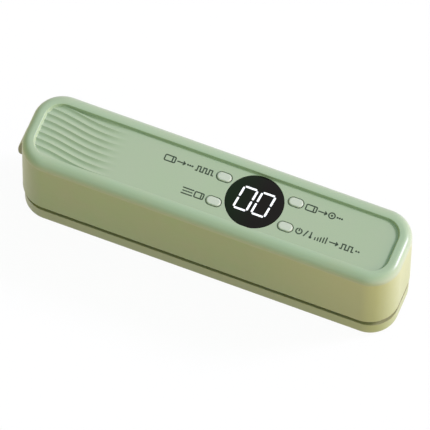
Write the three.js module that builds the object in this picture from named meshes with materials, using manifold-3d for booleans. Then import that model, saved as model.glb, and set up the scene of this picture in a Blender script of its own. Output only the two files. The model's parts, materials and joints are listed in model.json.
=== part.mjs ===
// Handheld vacuum sealer: a cordless bar that stands on four feet. The upper body holds the pump,
// the battery, the display and the buttons. The lower jaw hinges down at the right end, and a
// latch lever at the left end lets it go. Lengths are in millimetres, +Z is up, +X is to the right
// and the operator stands at -Y.
import * as THREE from 'three';
import { mergeVertices } from 'three/addons/utils/BufferGeometryUtils.js';
import Module from 'manifold-3d';

const wasm = await Module();
wasm.setup();

// Overall body
const bodyLength = 220;
const bodyWidth = 48;
const bodyHeight = 65;
const cornerRadius = 17;
const topFillet = 5;
const shellWall = 2.2;
const shellEdgeZ = 17.4;
const roofThickness = 2.2;

// Gaps shared by all pieces
const runGap = 0.3;
const seatGap = 0.15;
const filmGap = 0.1;
const overrun = 6;

// Recessed control panel
const rimWidth = 6.8;
const recessDepth = 1.8;
const panelThickness = 2;
const panelLedge = 3;

// Thumb grip: wavy flutes at the left end of the panel
const flutePitch = 4.07;
const fluteDepth = 1;
const fluteSway = 2.1;
const fluteSwayLength = 36;
const fluteShift = 1.54;
const fluteFullLength = 33;
const fluteFadeLength = 16;
const fluteStep = 4.5;

// Display: the window nearly fills the width of the recess
const displayXShare = 0.1;
const displayMargin = 1.1;
const displayProud = 0.1;
const displayGap = 0.2;
const lensFlangeWidth = 0.75;
const lensFlangeHeight = 0.9;
const digitHeightShare = 0.95;
const digitWidthShare = 0.472;
const digitPitchShare = 0.646;
const digitStrokeShare = 0.081;
const digitLeanShare = 0.1;
const digitNotchShare = 0.022;
const moduleEndMargin = 3.6;
const moduleSideMargin = 5.6;

// Buttons and their switches
const buttonLength = 8.4;
const buttonWidth = 5.2;
const buttonProud = 0.6;
const buttonLeftGap = 0.4;
const buttonRightGap = 0.8;
const buttonRowShare = 0.465;
const buttonSlack = 0.3;
const buttonFlangeWidth = 0.9;
const buttonFlangeHeight = 1.5;
const buttonEdge = 0.45;
const buttonStemRadius = 1.9;
const buttonTravel = 0.6;
const switchSize = 6;
const switchHeight = 3.6;
const switchPlungerRadius = 1.5;
const switchPlungerHeight = 0.8;

// Control board and its screws
const boardLength = 90;
const boardSideGap = 0.7;
const boardThickness = 1.6;
const boardDrop = 9.6;
const boardPostRadius = 2.8;
const boardPostInset = 7;
const boardPostSideInset = 4.5;
const boardScrewRadius = 1.1;
const boardScrewHeadRadius = 2.4;
const boardScrewHeadHeight = 1.4;
const boardScrewLength = 6;

// Chassis under the shell
const chassisDrop = 2;
const chassisThickness = 4;
const chassisScrewEndInset = 12;
const chassisScrewSideInset = 7.5;
const bossRadius = 3.2;
const bossHeight = 12;
const bossRibThickness = 2.4;

// Screws that hold the chassis and the jaw together
const screwRadius = 1.5;
const screwHeadRadius = 2.5;
const screwHeadHeight = 1.4;
const screwSlotWidth = 0.8;
const screwSlotDepth = 0.6;
const chassisScrewLength = 12;

// Vacuum chamber and gaskets
const matingZ = 14;
const chamberEndMargin = 11;
const chamberSideMargin = 6;
const upperChamberDepth = 2.4;
const lowerChamberDepth = 5.5;
const chamberCorner = 3;
const gasketEndInset = 15;
const gasketBackInset = 6;
const gasketHeaterGap = 6.5;
const gasketBead = 3;
const gasketCorner = 5;
const gasketDepth = 1.8;

// Heat sealing bar at the front
const heaterSideInset = 8.5;
const heaterEndInset = 18;
const heaterWidth = 5.2;
const heaterTopZ = 17.3;
const heaterHeight = 2.4;
const stripWidth = 2.4;
const stripThickness = 0.25;
const tapeWidth = 6.2;
const tapeThickness = 0.2;
const pressStripWidth = 5;

// Lower jaw
const jawInset = 1;
const jawTopZ = 12;
const jawBottomZ = 1.2;
const jawFillet = 3;
const jawWall = 2;
const jawFloor = 2;
const deckTopZ = 12.6;
const deckThickness = 4.4;
const panWall = 1.6;
const jawScrewBoss = 3;
const jawScrewPad = 4.2;
const jawScrewPadHeight = 1.4;
const jawScrewEndGap = 6;
const jawScrewEndShift = 3;
const jawScrewMidShare = 0.357;
const jawScrewHeaterGap = 3.5;
const jawScrewLength = 7.5;

// Hinge at the right end
const hingeInset = 5.5;
const hingeZ = 14.8;
const hingePinRadius = 1.5;
const hingePinSlack = 0.1;
const knuckleRadius = 2.6;
const earInnerShare = 0.208;
const earOuterShare = 0.383;
const lugThickness = 4;
const hingePocketLength = 9.5;
const hingePocketHeight = 2.6;
const lugReliefDepth = 1;

// Latch lever at the left end
const latchWidth = 12;
const latchSideGap = 0.4;
const latchTopGap = 0.7;
const latchTopDrop = 11.3;
const latchPivotDrop = 4.7;
const latchPivotInset = 3.5;
const latchFootZ = 7.6;
const latchNotchZ = 6.4;
const latchHubRadius = 1.9;
const latchPinRadius = 1;
const latchLugThickness = 2.5;
const latchLugRadius = 2.6;
const lipReach = 4.4;
const lipHeight = 16.5;
const lipDrop = 19.7;
const lipShares = {
  shoulderReach: 0.35,
  shoulderDrop: 0.08,
  faceReach: 0.75,
  faceDrop: 0.5,
  tipRise: 0.12,
  underReach: 0.7,
  rootRise: 0.1,
};
const noseReach = 1.5;
const noseHeight = 1.6;
const noseFlat = 0.8;
const strikeThickness = 0.6;
const strikeWidth = 9;
const strikeHeight = 3.4;
const strikeRecess = 1.5;
const springThickness = 0.3;
const springWidth = 5;
const springTopGap = 0.5;
const springBend = 1.1;

// Feet
const footEndInset = 22;
const footSideInset = 10;
const footRadius = 4.5;
const footHeight = 1.9;
const footPocket = 0.8;

// Battery cell
const cellRadius = 9.15;
const cellLength = 65;
const cellCapHeight = 1.2;
const cellCapRadius = 2.8;
const cellEndInset = 15;
const cellLift = 2;
const saddleThickness = 3;
const saddleWidth = 16;
const saddleRise = 5;
const saddleShare = 0.35;

// Vacuum pump
const pumpEndReach = 78;
const pumpHeadLength = 16;
const pumpHeadWidth = 22;
const pumpHeadTopGap = 5;
const pumpBarHeight = 3.4;
const pumpPlateThickness = 2.2;
const crankRoom = 9.6;
const crankShare = 0.625;
const crankThickness = 4;
const crankPinShare = 0.117;
const crankThrowShare = 0.35;
const crankPinGap = 1;
const crankSlack = 0.08;
const shaftRadius = 1;
const shaftHoleRadius = 3.2;
const motorGapBelow = 2.6;
const motorGapAbove = 4;
const motorLength = 28;
const motorBossShare = 0.33;
const motorBossHeight = 2;
const motorTabWidth = 2.4;
const motorTabThickness = 0.6;
const motorTabHeight = 2;
const motorTabShare = 0.58;
const motorSaddleLength = 8;
const portRadius = 1.5;
const portLength = 6;
const portRiseShare = 0.4;

// Suction hose and its nozzle on the chassis
const hoseRadius = 3;
const hoseBore = 1.75;
const hoseDropGap = 17.5;
const hoseBendShare = 0.55;
const bendPullShare = 0.55;
const nozzleFlangeRadius = 4;
const nozzleFlangeHeight = 1.2;
const nozzleStemRadius = 2.3;
const nozzleBore = 0.8;
const nozzleBarb = 4;

// Charging socket in the back wall
const socketCellGap = 10.5;
const socketRise = 8.95;
const socketLength = 9;
const socketHeight = 3.2;
const socketDepth = 8.6;
const socketWall = 0.4;
const socketFloor = 1.6;
const socketRecess = 0.8;
const tongueLength = 6.4;
const tongueThickness = 0.7;
const tongueReach = 5.5;
const chargeBoardLength = 20;
const chargeBoardCellGap = 1.2;
const chargeBoardThickness = 1.6;
const chargePostRadius = 2;
const chargePostReach = 7;

// Exhaust slots in the back wall
const exhaustPumpGap = 6;
const exhaustRise = 12.6;
const exhaustCount = 4;
const exhaustPitch = 4;
const exhaustSlotWidth = 1.4;
const exhaustSlotHeight = 9;

// Leads
const leadRadius = 0.8;
const leadHoleRadius = 1.5;
const leadSideInset = 4.9;
const leadRunRise = 4.6;
const cellLeadShare = 0.9;
const motorLeadRise = 2;

// Fineness of round shapes, as counts
const cornerSteps = 6;
const filletSteps = 4;
const pillSteps = 6;
const fluteFacets = 4;
const bigRound = 40;
const midRound = 24;
const smallRound = 12;
const leadSides = 6;
const leadStepShare = 4;
const hoseSides = 8;
const hoseSteps = 12;

// Places worked out from the sizes above
const halfLength = bodyLength / 2;
const halfWidth = bodyWidth / 2;
const displayX = bodyLength * displayXShare;
const displayRadius = halfWidth - rimWidth - displayMargin;
const digitHeight = displayRadius * digitHeightShare;
const digitWidth = displayRadius * digitWidthShare;
const digitPitch = displayRadius * digitPitchShare;
const digitStroke = displayRadius * digitStrokeShare;
const digitLean = displayRadius * digitLeanShare;
const digitNotch = displayRadius * digitNotchShare;
const moduleLength = (displayRadius - moduleEndMargin) * 2;
const moduleWidth = (displayRadius - moduleSideMargin) * 2;
const buttonLeftReach = displayRadius + buttonLeftGap + buttonLength / 2;
const buttonRightReach = displayRadius + buttonRightGap + buttonLength / 2;
const buttonRow = (halfWidth - rimWidth) * buttonRowShare;
const panelTopZ = bodyHeight - recessDepth;
const panelBottomZ = panelTopZ - panelThickness;
const ledgeTopZ = panelBottomZ - filmGap;
const roofBottomZ = ledgeTopZ - roofThickness;
const chassisBottomZ = shellEdgeZ - chassisDrop;
const chassisTopZ = chassisBottomZ + chassisThickness;
const chassisInset = shellWall + runGap;
const deckInset = jawInset + jawWall + runGap;
const deckBottomZ = deckTopZ - deckThickness;
const boardTopZ = panelBottomZ - boardDrop;
const boardBottomZ = boardTopZ - boardThickness;
const boardWidth = (halfWidth - rimWidth - panelLedge - boardSideGap) * 2;
const boardPostReach = boardLength / 2 - boardPostInset;
const boardPostRow = boardWidth / 2 - boardPostSideInset;
const chassisScrewX = halfLength - chassisScrewEndInset;
const chassisScrewY = halfWidth - chassisScrewSideInset;
const heaterY = heaterSideInset - halfWidth;
const heaterLength = bodyLength - heaterEndInset * 2;
const gasketLength = bodyLength - gasketEndInset * 2;
const gasketFrontY = heaterY + gasketHeaterGap;
const gasketBackY = halfWidth - gasketBackInset;
const gasketWidth = gasketBackY - gasketFrontY;
const chamberLength = gasketLength - chamberEndMargin * 2;
const chamberWidth = gasketWidth - chamberSideMargin * 2;
const chamberY = (gasketFrontY + gasketBackY) / 2;
const footX = halfLength - footEndInset;
const footY = halfWidth - footSideInset;
const hingeX = halfLength - hingeInset;
const earInnerY = halfWidth * earInnerShare;
const earOuterY = halfWidth * earOuterShare;
const latchPivotX = latchPivotInset - halfLength;
const latchTopZ = bodyHeight - latchTopDrop;
const latchPivotZ = latchTopZ - latchPivotDrop;
const lipBottomZ = latchTopZ - lipDrop;
const springTopZ = roofBottomZ - springTopGap;
const lensTopZ = panelTopZ + displayProud;
const lensFlangeTopZ = panelBottomZ - runGap;
const lensBottomZ = lensFlangeTopZ - lensFlangeHeight;
const moduleTopZ = lensBottomZ - displayGap;
const buttonTopZ = panelTopZ + buttonProud;
const buttonFlangeTopZ = panelBottomZ - runGap;
const buttonFlangeZ = buttonFlangeTopZ - buttonFlangeHeight;
const switchTopZ = boardTopZ + filmGap + switchHeight + switchPlungerHeight;
const buttonStemZ = switchTopZ + buttonTravel + filmGap;
const upperGasketZ = matingZ + seatGap;
const lowerGasketTopZ = matingZ - seatGap;
const heaterBottomZ = heaterTopZ - heaterHeight;
const stripTopZ = heaterBottomZ - filmGap;
const stripBottomZ = stripTopZ - stripThickness;
const tapeTopZ = stripBottomZ - filmGap;
const tapeBottomZ = tapeTopZ - tapeThickness;
const cellX = cellEndInset + cellLength / 2 - halfLength;
const cellZ = chassisTopZ + cellLift + cellRadius;
const pumpX = halfLength - pumpEndReach;
const pumpBaseZ = chassisTopZ + seatGap;
const pumpHeadHeight = boardBottomZ - pumpBaseZ - pumpHeadTopGap;
const motorRadius = (boardBottomZ - chassisTopZ - motorGapBelow - motorGapAbove) / 2;
const pumpAxisZ = chassisTopZ + motorGapBelow + motorRadius;
const crankRadius = motorRadius * crankShare;
const crankPinRadius = motorRadius * crankPinShare;
const crankThrow = motorRadius * crankThrowShare;
const motorBossRadius = motorRadius * motorBossShare;
const motorTabRow = motorRadius * motorTabShare;
const portRise = motorRadius * portRiseShare;
const hoseDropX = pumpX - hoseDropGap;
const hoseTopZ = pumpAxisZ + portRise;
const hoseLowZ = chassisTopZ + filmGap * 2 + nozzleFlangeHeight;
const hoseBendRun = hoseDropGap * hoseBendShare;
const hoseBendDrop = (hoseTopZ - hoseLowZ) * hoseBendShare;
const pumpRearX = pumpX + pumpHeadLength + crankRoom;
const motorX = pumpRearX + pumpPlateThickness + filmGap;
const socketX = cellX + cellLength / 2 - socketCellGap;
const socketZ = chassisTopZ + socketRise;
const chargeBoardZ = socketZ - socketHeight / 2 - filmGap - chargeBoardThickness;
const chargeBoardWidth = halfWidth - shellWall - runGap - cellRadius - chargeBoardCellGap;
const chargeBoardY = halfWidth - shellWall - runGap - chargeBoardWidth / 2;
const exhaustX = pumpX + exhaustPumpGap;
const exhaustZ = chassisTopZ + exhaustRise;
const leadRow = halfWidth - leadSideInset;
const leadRunZ = chassisTopZ + leadRunRise;
const jawScrewEndX = chamberLength / 2 + jawScrewEndGap;
const jawScrewMidX = chamberLength * jawScrewMidShare;
const jawScrewPlaces = [
  [-jawScrewEndX, chamberY - jawScrewEndShift],
  [jawScrewEndX, chamberY - jawScrewEndShift],
  [-jawScrewMidX, heaterY + jawScrewHeaterGap],
  [jawScrewMidX, heaterY + jawScrewHeaterGap],
];

// Solids from three.js geometry, and back
function solid(geometry) {
  const bare = geometry.clone();
  bare.deleteAttribute('normal');
  bare.deleteAttribute('uv');
  const merged = mergeVertices(bare);
  const mesh = new wasm.Mesh({
    numProp: 3,
    vertProperties: merged.attributes.position.array,
    triVerts: Uint32Array.from(merged.index.array),
  });
  return new wasm.Manifold(mesh);
}

function geometryOf(body) {
  const mesh = body.getMesh();
  const geometry = new THREE.BufferGeometry();
  geometry.setAttribute('position', new THREE.BufferAttribute(mesh.vertProperties, 3));
  geometry.setIndex(new THREE.BufferAttribute(mesh.triVerts, 1));
  geometry.computeVertexNormals();
  return geometry;
}

const joined = (first, ...others) => others.reduce((sum, other) => sum.add(other), first);
const cut = (first, ...others) => others.reduce((rest, other) => rest.subtract(other), first);

// Basic forms
function block(x0, x1, y0, y1, z0, z1) {
  const box = new THREE.BoxGeometry(x1 - x0, y1 - y0, z1 - z0);
  box.translate((x0 + x1) / 2, (y0 + y1) / 2, (z0 + z1) / 2);
  return solid(box);
}

function post(x, y, radius, z0, z1, sides = smallRound) {
  const rod = new THREE.CylinderGeometry(radius, radius, z1 - z0, sides);
  rod.rotateX(Math.PI / 2);
  rod.translate(x, y, (z0 + z1) / 2);
  return solid(rod);
}

function rodAlongX(y, z, radius, x0, x1, sides = smallRound) {
  const rod = new THREE.CylinderGeometry(radius, radius, x1 - x0, sides);
  rod.rotateZ(Math.PI / 2);
  rod.translate((x0 + x1) / 2, y, z);
  return solid(rod);
}

function rodAlongY(x, z, radius, y0, y1, sides = smallRound) {
  const rod = new THREE.CylinderGeometry(radius, radius, y1 - y0, sides);
  rod.translate(x, (y0 + y1) / 2, z);
  return solid(rod);
}

// A flat outline in X and Y raised from z0 to z1
function raised(shape, z0, z1, steps = cornerSteps) {
  const slab = new THREE.ExtrudeGeometry(
    shape, { depth: z1 - z0, bevelEnabled: false, curveSegments: steps },
  );
  slab.translate(0, 0, z0);
  return solid(slab);
}

// An outline in X and Z carried along Y, centred on Y = 0
function acrossY(shape, width, steps = cornerSteps) {
  const slab = new THREE.ExtrudeGeometry(
    shape, { depth: width, bevelEnabled: false, curveSegments: steps },
  );
  slab.rotateX(Math.PI / 2);
  slab.translate(0, width / 2, 0);
  return solid(slab);
}

function roundedRectangle(x, y, length, width, radius) {
  const right = x + length / 2 - radius;
  const left = x - length / 2 + radius;
  const back = y + width / 2 - radius;
  const front = y - width / 2 + radius;
  const shape = new THREE.Shape();
  shape.absarc(right, front, radius, -Math.PI / 2, 0);
  shape.absarc(right, back, radius, 0, Math.PI / 2);
  shape.absarc(left, back, radius, Math.PI / 2, Math.PI);
  shape.absarc(left, front, radius, Math.PI, Math.PI * 1.5);
  shape.closePath();
  return shape;
}

function pill(x, y, length, width) {
  const reach = (length - width) / 2;
  const shape = new THREE.Shape();
  shape.absarc(x + reach, y, width / 2, -Math.PI / 2, Math.PI / 2);
  shape.absarc(x - reach, y, width / 2, Math.PI / 2, Math.PI * 1.5);
  shape.closePath();
  return shape;
}

// The plan outline of the body, drawn in by an inset, as a ring of points
function bodyRing(inset, z) {
  const radius = cornerRadius - inset;
  const ring = [];
  for (let corner = 0; corner < 4; corner += 1) {
    const sideX = corner === 0 || corner === 3 ? 1 : -1;
    const sideY = corner < 2 ? 1 : -1;
    for (let step = 0; step <= cornerSteps; step += 1) {
      const angle = (corner + step / cornerSteps) * Math.PI / 2;
      ring.push([
        sideX * (halfLength - cornerRadius) + radius * Math.cos(angle),
        sideY * (halfWidth - cornerRadius) + radius * Math.sin(angle),
        z,
      ]);
    }
  }
  return ring;
}

// A closed body through rings of the plan outline, each given as [inset, z] from the bottom up
function throughRings(levels) {
  const rings = levels.map(([inset, z]) => bodyRing(inset, z));
  const count = rings[0].length;
  const positions = rings.flat(2);
  const bottom = positions.length / 3;
  positions.push(0, 0, levels[0][1]);
  positions.push(0, 0, levels[levels.length - 1][1]);
  const indices = [];
  for (let level = 0; level < rings.length - 1; level += 1) {
    for (let i = 0; i < count; i += 1) {
      const a = level * count + i;
      const b = level * count + (i + 1) % count;
      indices.push(a, b, b + count, a, b + count, a + count);
    }
  }
  const last = (rings.length - 1) * count;
  for (let i = 0; i < count; i += 1) {
    indices.push(bottom, (i + 1) % count, i);
    indices.push(bottom + 1, last + i, last + (i + 1) % count);
  }
  const geometry = new THREE.BufferGeometry();
  geometry.setAttribute('position', new THREE.Float32BufferAttribute(positions, 3));
  geometry.setIndex(indices);
  return solid(geometry);
}

const straightBody = (inset, z0, z1) => throughRings([[inset, z0], [inset, z1]]);

// A slotted screw that points up, with its head's underside at z
function screw(x, y, z, headHeight, headRadius, radius, length) {
  const head = post(x, y, headRadius, z, z + headHeight);
  const shank = post(x, y, radius, z + headHeight - filmGap, z + headHeight + length);
  const slot = block(
    x - headRadius - overrun, x + headRadius + overrun,
    y - screwSlotWidth / 2, y + screwSlotWidth / 2,
    z - overrun, z + screwSlotDepth,
  );
  return cut(joined(head, shank), slot);
}

// A round lead or hose along a path, with an optional bore
function alongPath(path, radius, sides, steps, bore = 0) {
  const section = new THREE.Shape();
  section.absarc(0, 0, radius, 0, Math.PI * 2);
  if (bore > 0) {
    const hole = new THREE.Path();
    hole.absarc(0, 0, bore, 0, Math.PI * 2, true);
    section.holes.push(hole);
  }
  const tube = new THREE.ExtrudeGeometry(section, { extrudePath: path, steps, curveSegments: sides / 2 });
  return solid(tube);
}

// Upper body shell
function upperShell() {
  const levels = [[0, shellEdgeZ]];
  for (let step = 0; step <= filletSteps; step += 1) {
    const angle = step / filletSteps * Math.PI / 2;
    levels.push([
      topFillet * (1 - Math.cos(angle)),
      bodyHeight - topFillet + topFillet * Math.sin(angle),
    ]);
  }
  const hollow = straightBody(shellWall, shellEdgeZ - overrun, roofBottomZ);
  const recess = straightBody(rimWidth, ledgeTopZ, bodyHeight + overrun);
  const window = straightBody(rimWidth + panelLedge, roofBottomZ - overrun, ledgeTopZ + overrun);
  const lensRoom = post(
    displayX, 0, displayRadius + lensFlangeWidth + seatGap * 2, roofBottomZ - filmGap,
    ledgeTopZ + filmGap, bigRound,
  );
  let shell = cut(throughRings(levels), hollow, recess, window, lensRoom);
  shell = cut(shell, latchSlot(), socketOpening(), ...exhaustSlots());
  shell = joined(shell, ...shellBosses(), ...latchLugs());
  return cut(shell, ...bossPilots(), latchPinHole());
}

function latchSlot() {
  const side = latchWidth / 2 + latchSideGap;
  return block(
    -halfLength - overrun, -halfLength + shellWall + overrun / 4, -side, side,
    shellEdgeZ - overrun, latchTopZ + latchTopGap,
  );
}

function socketOpening() {
  const opening = new THREE.Shape(
    pill(0, 0, socketLength + runGap * 2, socketHeight + runGap * 2).getPoints(cornerSteps),
  );
  const hole = new THREE.ExtrudeGeometry(opening, { depth: shellWall + overrun * 2, bevelEnabled: false });
  hole.rotateX(Math.PI / 2);
  hole.translate(socketX, halfWidth + overrun, socketZ);
  return solid(hole);
}

function exhaustSlots() {
  const slots = [];
  for (let i = 0; i < exhaustCount; i += 1) {
    const x = exhaustX + (i - (exhaustCount - 1) / 2) * exhaustPitch;
    slots.push(block(
      x - exhaustSlotWidth / 2, x + exhaustSlotWidth / 2,
      halfWidth - shellWall - overrun / 4, halfWidth + overrun,
      exhaustZ - exhaustSlotHeight / 2, exhaustZ + exhaustSlotHeight / 2,
    ));
  }
  return slots;
}

const chassisScrewPlaces = () => [-1, 1].flatMap((sx) => [-1, 1].map((sy) => [
  sx * chassisScrewX, sy * chassisScrewY,
]));

function shellBosses() {
  const bottom = chassisTopZ + runGap;
  return chassisScrewPlaces().flatMap(([x, y]) => {
    const outside = Math.sign(y) * (halfWidth - shellWall / 2 - runGap);
    const rib = block(
      x - bossRibThickness / 2, x + bossRibThickness / 2,
      Math.min(y, outside), Math.max(y, outside), bottom, bottom + bossHeight,
    );
    return [
      post(x, y, bossRadius, bottom, bottom + bossHeight),
      rib.intersect(straightBody(shellWall / 2, bottom, bottom + bossHeight)),
    ];
  });
}

const bossPilots = () => chassisScrewPlaces().map(([x, y]) => post(
  x, y, screwRadius + filmGap, chassisTopZ, chassisTopZ + runGap + bossHeight - screwRadius,
));

function latchLugs() {
  const inner = latchWidth / 2 + latchSideGap + runGap;
  return [-1, 1].map((side) => {
    const y0 = side > 0 ? inner : -inner - latchLugThickness;
    const y1 = y0 + latchLugThickness;
    const ear = rodAlongY(latchPivotX, latchPivotZ, latchLugRadius, y0, y1);
    const root = block(
      -halfLength + shellWall / 2, latchPivotX, y0, y1, latchPivotZ - latchLugRadius,
      latchPivotZ + latchLugRadius,
    );
    return joined(ear, root).intersect(straightBody(shellWall / 2, shellEdgeZ, roofBottomZ));
  });
}

const latchPinHole = () => {
  const reach = latchWidth / 2 + latchSideGap + runGap + latchLugThickness;
  return rodAlongY(
    latchPivotX, latchPivotZ, latchPinRadius + hingePinSlack, -reach - overrun / 2,
    reach + overrun / 2,
  );
};

// Recessed control panel with its wavy thumb grip
const fluteStartX = -halfLength + rimWidth + seatGap;

const fluteLine = (x) => fluteSway * Math.cos(Math.PI * (x - fluteStartX) / fluteSwayLength);

function fluteStrength(x) {
  const share = (x - fluteStartX - fluteFullLength) / fluteFadeLength;
  const t = Math.min(Math.max(share, 0), 1);
  return 1 - t * t * (3 - 2 * t);
}

function fluteHeight(x, line) {
  const phase = (line + fluteShift) / flutePitch;
  const offCentre = Math.abs(phase - Math.floor(phase) - 0.5) * 2;
  return panelTopZ + fluteStrength(x) * fluteDepth * (offCentre * offCentre - 0.5);
}

// The air over the panel as a closed block, whose underside is the panel's top surface. Its rows
// follow the waves of the flutes, and past the flutes one long flat column reaches the right end.
function airOverPanel() {
  const fluteEndX = fluteStartX + fluteFullLength + fluteFadeLength;
  const columns = Math.ceil((fluteEndX - fluteStartX) / fluteStep);
  const places = [fluteStartX - overrun];
  for (let i = 0; i <= columns; i += 1) {
    places.push(fluteStartX + (fluteEndX - fluteStartX) * i / columns);
  }
  places.push(halfLength + overrun);
  const reach = Math.ceil((halfWidth - rimWidth + fluteSway) / flutePitch + 1);
  const rows = 2 * reach * fluteFacets;
  const positions = [];
  for (const place of places) {
    const x = Math.min(Math.max(place, fluteStartX), fluteEndX);
    for (let j = 0; j <= rows; j += 1) {
      const line = (j / fluteFacets - reach) * flutePitch - fluteShift;
      positions.push(place, line + fluteLine(x), fluteHeight(x, line));
    }
    const low = -reach * flutePitch - fluteShift + fluteLine(x);
    const high = reach * flutePitch - fluteShift + fluteLine(x);
    positions.push(place, low, panelTopZ + overrun, place, high, panelTopZ + overrun);
  }
  const stride = rows + 3;
  const indices = [];
  for (let i = 0; i < places.length - 1; i += 1) {
    const a = i * stride;
    const b = a + stride;
    for (let j = 0; j < rows; j += 1) {
      indices.push(a + j, b + j + 1, b + j, a + j, a + j + 1, b + j + 1);
    }
    const [lowA, highA, lowB, highB] = [a + rows + 1, a + rows + 2, b + rows + 1, b + rows + 2];
    indices.push(a, b, lowB, a, lowB, lowA);
    indices.push(a + rows, highA, highB, a + rows, highB, b + rows);
    indices.push(lowA, lowB, highB, lowA, highB, highA);
  }
  for (const [base, left] of [[0, true], [(places.length - 1) * stride, false]]) {
    const low = base + rows + 1;
    const rim = [...Array(rows + 1).keys()].map((j) => base + j).concat(low + 1);
    for (let j = 0; j < rim.length - 1; j += 1) {
      indices.push(...(left ? [low, rim[j + 1], rim[j]] : [low, rim[j], rim[j + 1]]));
    }
  }
  const geometry = new THREE.BufferGeometry();
  geometry.setAttribute('position', new THREE.Float32BufferAttribute(positions, 3));
  geometry.setIndex(indices);
  return solid(geometry);
}

const buttonPlaces = {
  pulse: [displayX - buttonLeftReach, buttonRow],
  seal: [displayX - buttonLeftReach, -buttonRow],
  vacuum: [displayX + buttonRightReach, buttonRow],
  power: [displayX + buttonRightReach, -buttonRow],
};

const boardPosts = [
  [displayX - boardPostReach, boardPostRow],
  [displayX + boardPostReach, -boardPostRow],
];

function controlPanel() {
  const inset = rimWidth + seatGap;
  const plate = cut(straightBody(inset, panelBottomZ, panelTopZ + fluteDepth), airOverPanel());
  const posts = boardPosts.map(([x, y]) => post(
    x, y, boardPostRadius, boardTopZ + filmGap, panelBottomZ + filmGap,
  ));
  const pilots = boardPosts.map(([x, y]) => post(
    x, y, boardScrewRadius + seatGap, boardTopZ - overrun, boardTopZ + boardScrewLength,
  ));
  const slackLength = buttonLength + buttonSlack * 2;
  const slackWidth = buttonWidth + buttonSlack * 2;
  const holes = Object.values(buttonPlaces).map(([x, y]) => raised(
    pill(x, y, slackLength, slackWidth), panelBottomZ - overrun, panelTopZ + overrun, pillSteps,
  ));
  const displayHole = post(
    displayX, 0, displayRadius + displayGap, panelBottomZ - overrun, panelTopZ + overrun, bigRound,
  );
  return cut(joined(plate, ...posts), ...pilots, ...holes, displayHole);
}

// Digit bars of the two-digit display, as outlines; each bar has pointed ends
function digitBars(inset) {
  const bars = [];
  const lean = (y) => digitLean * y / digitHeight;
  const half = digitStroke / 2 - inset;
  for (const side of [-1, 1]) {
    const centre = displayX + side * digitPitch / 2;
    const left = centre - digitWidth / 2;
    const right = centre + digitWidth / 2;
    const top = digitHeight / 2;
    const spans = [
      [left, top, right, top], [left, -top, right, -top],
      [left, 0, left, top], [right, 0, right, top],
      [left, -top, left, 0], [right, -top, right, 0],
    ];
    for (const [x0, y0, x1, y1] of spans) {
      const level = y0 === y1;
      const trim = digitNotch + inset;
      const ux = level ? 1 : 0;
      const uy = level ? 0 : 1;
      const outline = [
        [x0 + ux * trim, y0 + uy * trim],
        [x0 + ux * (trim + half) + uy * half, y0 + uy * (trim + half) - ux * half],
        [x1 - ux * (trim + half) + uy * half, y1 - uy * (trim + half) - ux * half],
        [x1 - ux * trim, y1 - uy * trim],
        [x1 - ux * (trim + half) - uy * half, y1 - uy * (trim + half) + ux * half],
        [x0 + ux * (trim + half) - uy * half, y0 + uy * (trim + half) + ux * half],
      ];
      bars.push(new THREE.Shape(outline.map(([x, y]) => new THREE.Vector2(x + lean(y), y))));
    }
  }
  return bars;
}

function displayLens() {
  const disc = post(displayX, 0, displayRadius, lensBottomZ, lensTopZ, bigRound);
  const flange = post(displayX, 0, displayRadius + lensFlangeWidth, lensBottomZ, lensFlangeTopZ, bigRound);
  const slots = digitBars(0).map((bar) => raised(bar, lensBottomZ - overrun, lensTopZ + overrun));
  return cut(joined(disc, flange), ...slots);
}

function displayModule() {
  const base = block(
    displayX - moduleLength / 2, displayX + moduleLength / 2, -moduleWidth / 2, moduleWidth / 2,
    boardTopZ + filmGap, moduleTopZ,
  );
  const bars = digitBars(filmGap).map((bar) => raised(bar, moduleTopZ - filmGap, lensTopZ));
  return joined(base, ...bars);
}

function button([x, y]) {
  const cap = raised(
    pill(x, y, buttonLength, buttonWidth), buttonFlangeZ, buttonTopZ - buttonEdge, pillSteps,
  );
  const crown = new THREE.ExtrudeGeometry(
    pill(x, y, buttonLength - buttonEdge * 2, buttonWidth - buttonEdge * 2),
    {
      depth: filmGap, bevelThickness: buttonEdge, bevelSize: buttonEdge, bevelSegments: 1,
      curveSegments: pillSteps,
    },
  );
  crown.translate(0, 0, buttonTopZ - buttonEdge - filmGap);
  const flange = raised(
    pill(x, y, buttonLength + buttonFlangeWidth * 2, buttonWidth + buttonFlangeWidth * 2),
    buttonFlangeZ, buttonFlangeTopZ, pillSteps,
  );
  return joined(
    cap, solid(crown), flange, post(x, y, buttonStemRadius, buttonStemZ, buttonFlangeZ + filmGap),
  );
}

function tactSwitch([x, y]) {
  const base = boardTopZ + filmGap;
  const half = switchSize / 2;
  const body = block(x - half, x + half, y - half, y + half, base, base + switchHeight);
  return joined(body, post(x, y, switchPlungerRadius, base + switchHeight - filmGap, switchTopZ));
}

function controlBoard() {
  const board = block(
    displayX - boardLength / 2, displayX + boardLength / 2, -boardWidth / 2, boardWidth / 2,
    boardBottomZ, boardTopZ,
  );
  const holes = boardPosts.map(([x, y]) => post(
    x, y, boardScrewRadius + seatGap * 2, boardBottomZ - overrun, boardTopZ + overrun,
  ));
  return cut(board, ...holes);
}

const boardScrew = ([x, y]) => screw(
  x, y, boardBottomZ - seatGap - boardScrewHeadHeight, boardScrewHeadHeight,
  boardScrewHeadRadius, boardScrewRadius, boardScrewLength,
);

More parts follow.
